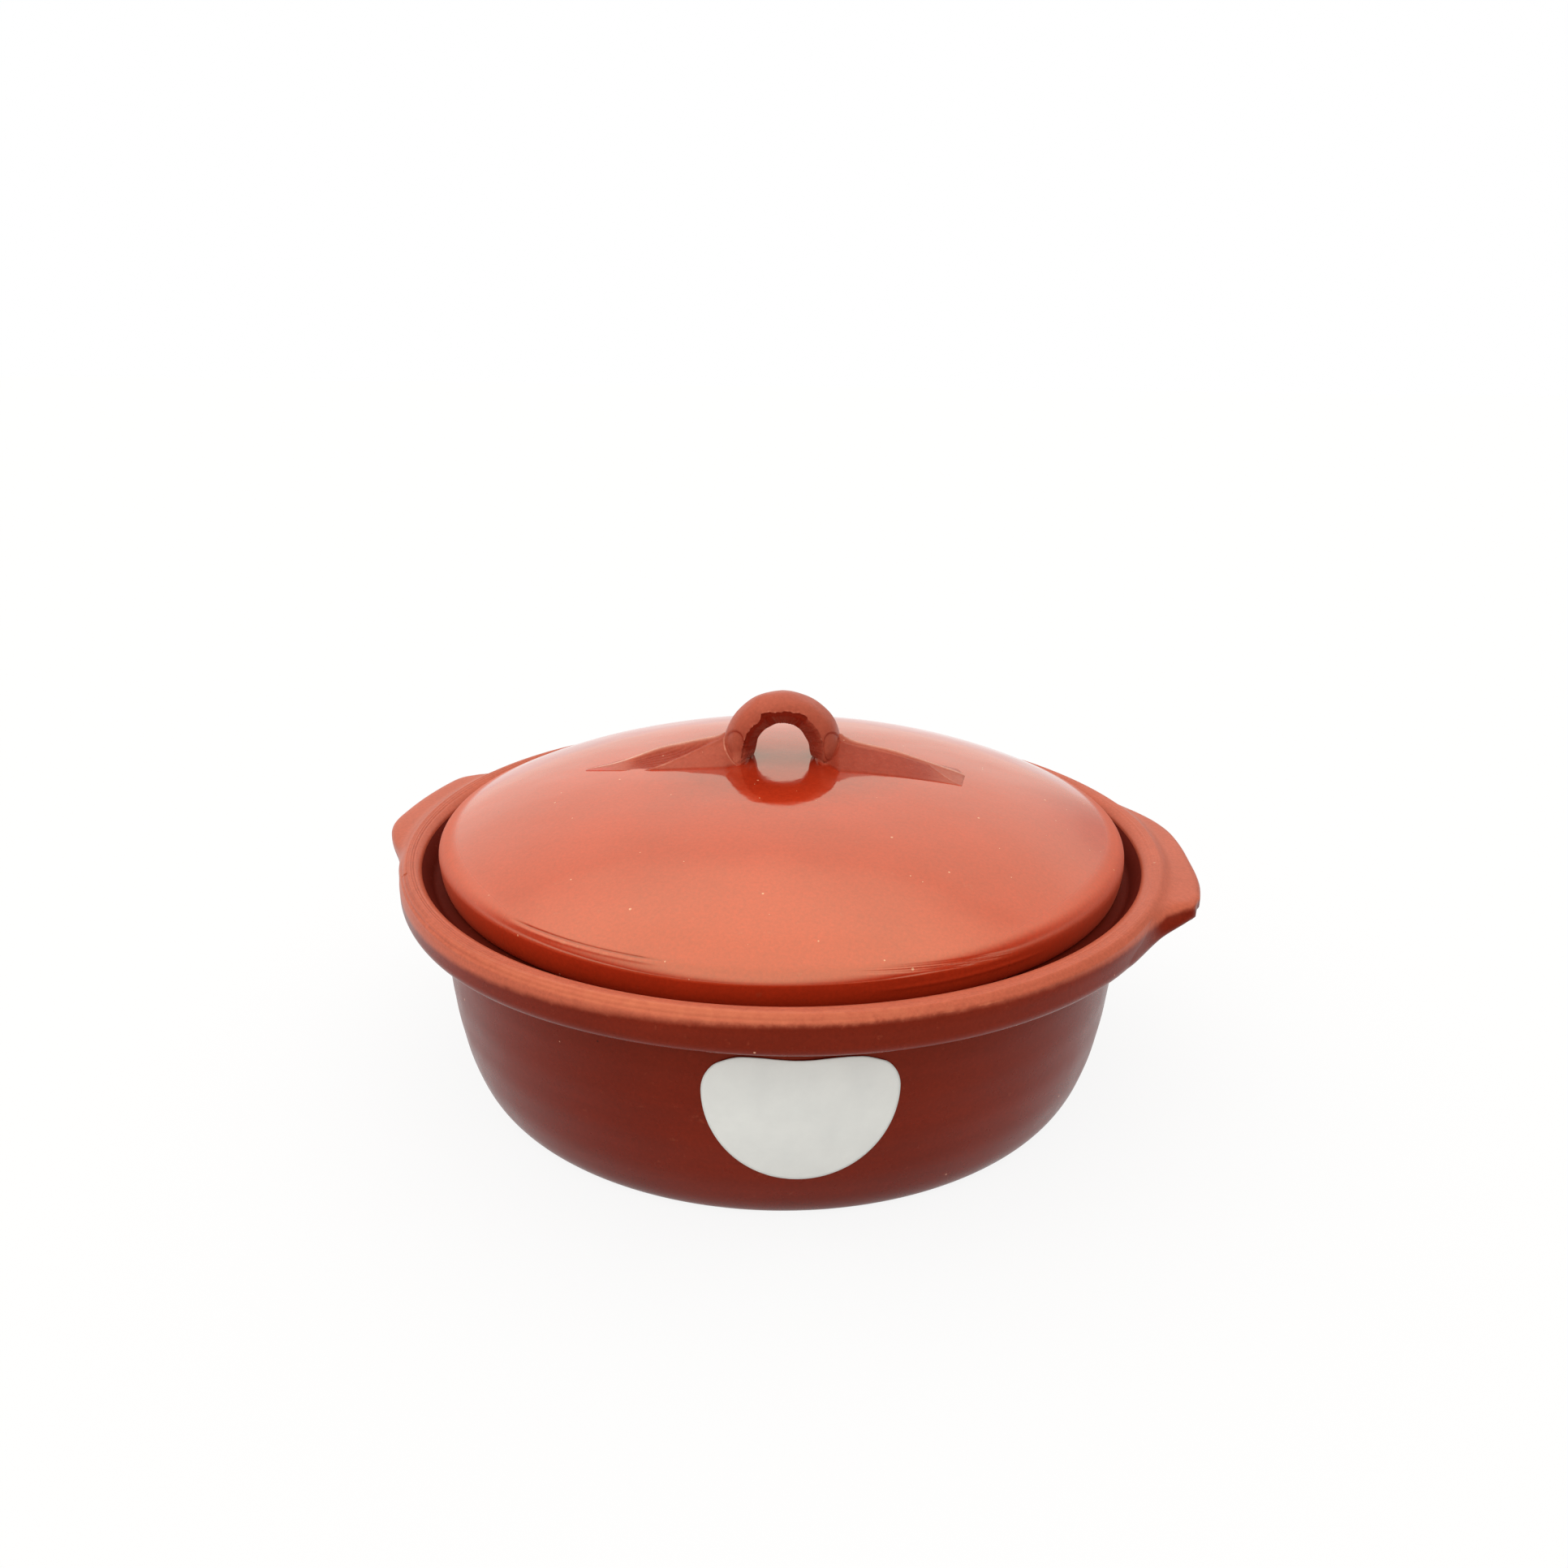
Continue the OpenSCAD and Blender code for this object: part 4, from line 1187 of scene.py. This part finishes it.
# Light: a soft white ceiling that leans towards the camera's side, a white wall behind the pot whose low
# right part is dimmer, and a dim room in front, by their brightness and directions
CEILING_LEVEL = 1.6
CEILING_LEAN = 13.0
CEILING_ASIDE = 8.0
CEILING_SPREAD = 57.0
CEILING_SOFT = 21.0
WALL_LEVEL = 1.1
WALL_FROM, WALL_FULL = 0.0, 0.55
WALL_ASIDE_FROM, WALL_ASIDE_TO = 0.3, 0.55
WALL_LOW_FROM, WALL_LOW_TO = 0.02, 0.48
WALL_DIM = 0.75
ROOM_COLOUR = (1.0, 0.97, 0.91)
ROOM_LEVEL = 0.06
FLOOR_SIZE = 24.0
FLOOR_DROP = 0.0002
FLOOR_ALBEDO = 0.82
FLOOR_ROUGH, FLOOR_SPECULAR = 0.8, 0.1
FLOOR_WHITE = 0.88


def towards(tree, heading, direction):
    node = add(tree, "ShaderNodeVectorMath", _operation="DOT_PRODUCT", i0=heading, i1=direction)
    return node.outputs["Value"]


def make_world():
    world = bpy.data.worlds.new("white room")
    bpy.context.scene.world = world
    world.use_nodes = True
    tree = world.node_tree
    heading = add(tree, "ShaderNodeTexCoord").outputs["Generated"]
    side = math.radians(CAMERA_AZIMUTH)
    lean = math.radians(CEILING_LEAN)
    away = (-math.sin(side), math.cos(side), 0.0)
    left = Vector((-away[1], away[0], 0.0)) * math.tan(math.radians(CEILING_ASIDE))
    up = (Vector((-math.sin(lean) * away[0], -math.sin(lean) * away[1], math.cos(lean))) + left).normalized()
    near, far = (math.cos(math.radians(CEILING_SPREAD + d)) for d in (CEILING_SOFT, -CEILING_SOFT))
    ceiling = ranged(tree, towards(tree, heading, up), near, far, ROOM_LEVEL, CEILING_LEVEL, smooth=True)
    to_wall, to_right = towards(tree, heading, away), towards(tree, heading, (away[1], -away[0], 0.0))
    wall = ranged(tree, to_wall, WALL_FROM, WALL_FULL, ROOM_LEVEL, WALL_LEVEL, smooth=True)
    height = add(tree, "ShaderNodeSeparateXYZ", Vector=heading).outputs["Z"]
    low = ranged(tree, height, WALL_LOW_TO, WALL_LOW_FROM, smooth=True)
    aside = ranged(tree, to_right, WALL_ASIDE_FROM, WALL_ASIDE_TO, 0.0, WALL_DIM, smooth=True)
    dim = calc(tree, "MULTIPLY", low, aside)
    wall = calc(tree, "MULTIPLY", wall, calc(tree, "SUBTRACT", 1.0, dim))
    level = calc(tree, "MAXIMUM", ceiling, wall)
    seen = add(tree, "ShaderNodeLightPath").outputs["Is Camera Ray"]
    feed(tree, tree.nodes["Background"], Color=mixed(tree, seen, ROOM_COLOUR, (1.0, 1.0, 1.0)),
         Strength=mixed_value(tree, seen, level, 1.0))


def make_floor():
    """White table that reads as paper white to the eye and in the glaze, and still takes the pot's shadow."""
    mesh = bpy.data.meshes.new("floor")
    half = FLOOR_SIZE / 2
    corners = [(x * half, y * half, -FLOOR_DROP) for x, y in ((-1, -1), (1, -1), (1, 1), (-1, 1))]
    mesh.from_pydata(corners, [], [(0, 1, 2, 3)])
    floor = bpy.data.objects.new("floor", mesh)
    bpy.context.scene.collection.objects.link(floor)
    material, tree, shader = new_material("white table")
    feed(tree, shader, Base_Color=(FLOOR_ALBEDO, FLOOR_ALBEDO, FLOOR_ALBEDO, 1), Roughness=FLOOR_ROUGH,
         Specular_IOR_Level=FLOOR_SPECULAR)
    path = add(tree, "ShaderNodeLightPath").outputs
    mirrored = calc(tree, "MAXIMUM", path["Is Glossy Ray"], path["Is Transmission Ray"])
    share = calc(tree, "MULTIPLY", calc(tree, "MAXIMUM", path["Is Camera Ray"], mirrored), FLOOR_WHITE)
    white = add(tree, "ShaderNodeEmission", Color=(1, 1, 1, 1), Strength=1.0).outputs["Emission"]
    blend = add(tree, "ShaderNodeMixShader", i0=share, i1=shader.outputs["BSDF"], i2=white)
    feed(tree, tree.nodes["Material Output"], Surface=blend.outputs["Shader"])
    mesh.materials.append(material)


bpy.context.scene.view_settings.view_transform = "Standard"
make_camera()
make_world()
make_floor()

# Pot: dark satin walls, crown and lug tops painted pale as painted light, a matt unglazed gallery painted
# dark as painted shade, and a glossy inside
pot_clay = clay(
    "pot glaze", deep=(0.155, 0.0125, 0.005), base=(0.19, 0.0165, 0.0065), pale=(0.6, 0.3, 0.2),
    # The worn colour is wear and a painted highlight on the rim's shoulder line, and a painted highlight at
    # its front
    wet=(0.16, 0.012, 0.005), worn=(0.62, 0.17, 0.09), rough=0.28, rough_var=0.05, wet_rough=0.15,
    specular=0.12, tint=(1.0, 0.6, 0.4), peel=0.00001, grain=0.000012, streak=9.0, specks=(170.0, 0.12, 0.08),
    # Pale zone: painted light on the crown and lug tops
    zones=(("pale", -1.7, 0.9, 1.3, (0.5, 0.115, 0.064), 0.36),
           # Gallery zone: painted shade in the gap under the lid
           ("gallery", 0.3, 0.7, 0.0, (0.12, 0.008, 0.003), 0.75),
           ("inside", 0.3, 0.7, 0.0, (0.3, 0.035, 0.012), 0.12)))
# Lid: glossy and orange, with a matt brim
lid_clay = clay(
    "lid glaze", deep=(0.51, 0.036, 0.01), base=(0.56, 0.042, 0.012), pale=(0.75, 0.34, 0.2),
    # The wet colour is painted shade round the loop and in the crease, the worn colour a painted highlight on
    # its lip
    wet=(0.3, 0.02, 0.006), worn=(0.68, 0.2, 0.1), rough=0.06, rough_var=0.015, wet_rough=0.08,
    specular=1.0, tint=(1.0, 0.92, 0.62), peel=0.000012, grain=0.000003, ior=1.65, wave=0.0004,
    zones=(("brim", 0.1, 0.9, 0.0, (0.54, 0.04, 0.011), 0.6),))
# Loop and fins: paler and half matt, with the lid's colour at the fins' edges and crests painted pale as a
# painted highlight
loop_clay = clay(
    "loop glaze", deep=(0.41, 0.08, 0.045), base=(0.47, 0.1, 0.058), pale=(0.65, 0.3, 0.2),
    # Wet colour: darker glaze and painted shade in hollows, crevices, lines and on the cut. Worn colour: wear
    # and painted highlights
    wet=(0.3, 0.027, 0.012), worn=(0.68, 0.27, 0.18), rough=0.42, rough_var=0.08, wet_rough=0.2,
    specular=0.25, tint=(1.0, 0.7, 0.5), peel=0.00007, grain=0.00003,
    zones=(("ground", 0.2, 0.9, 0.3, (0.53, 0.045, 0.015), 0.12),
           # Crest zone: painted highlight on the fins' crests and the right fin's cut end
           ("crest", 0.1, 0.9, 0.3, (0.74, 0.38, 0.28), 0.4)))
label_paper = paper("sticker paper")

make_pot(pot_clay)
make_lug("left_ledge_lug", "left_lug", LEFT_LUG, pot_clay)
make_lug("right_ledge_lug", "right_lug", RIGHT_LUG, pot_clay)
make_label(label_paper)
make_lid(lid_clay)
make_loop(loop_clay)
make_root("left_clay_root", "left_loop_root", LEFT_FIN, left_root_marks, loop_clay)
make_root("right_clay_root", "right_loop_root", RIGHT_FIN, right_root_marks, loop_clay)
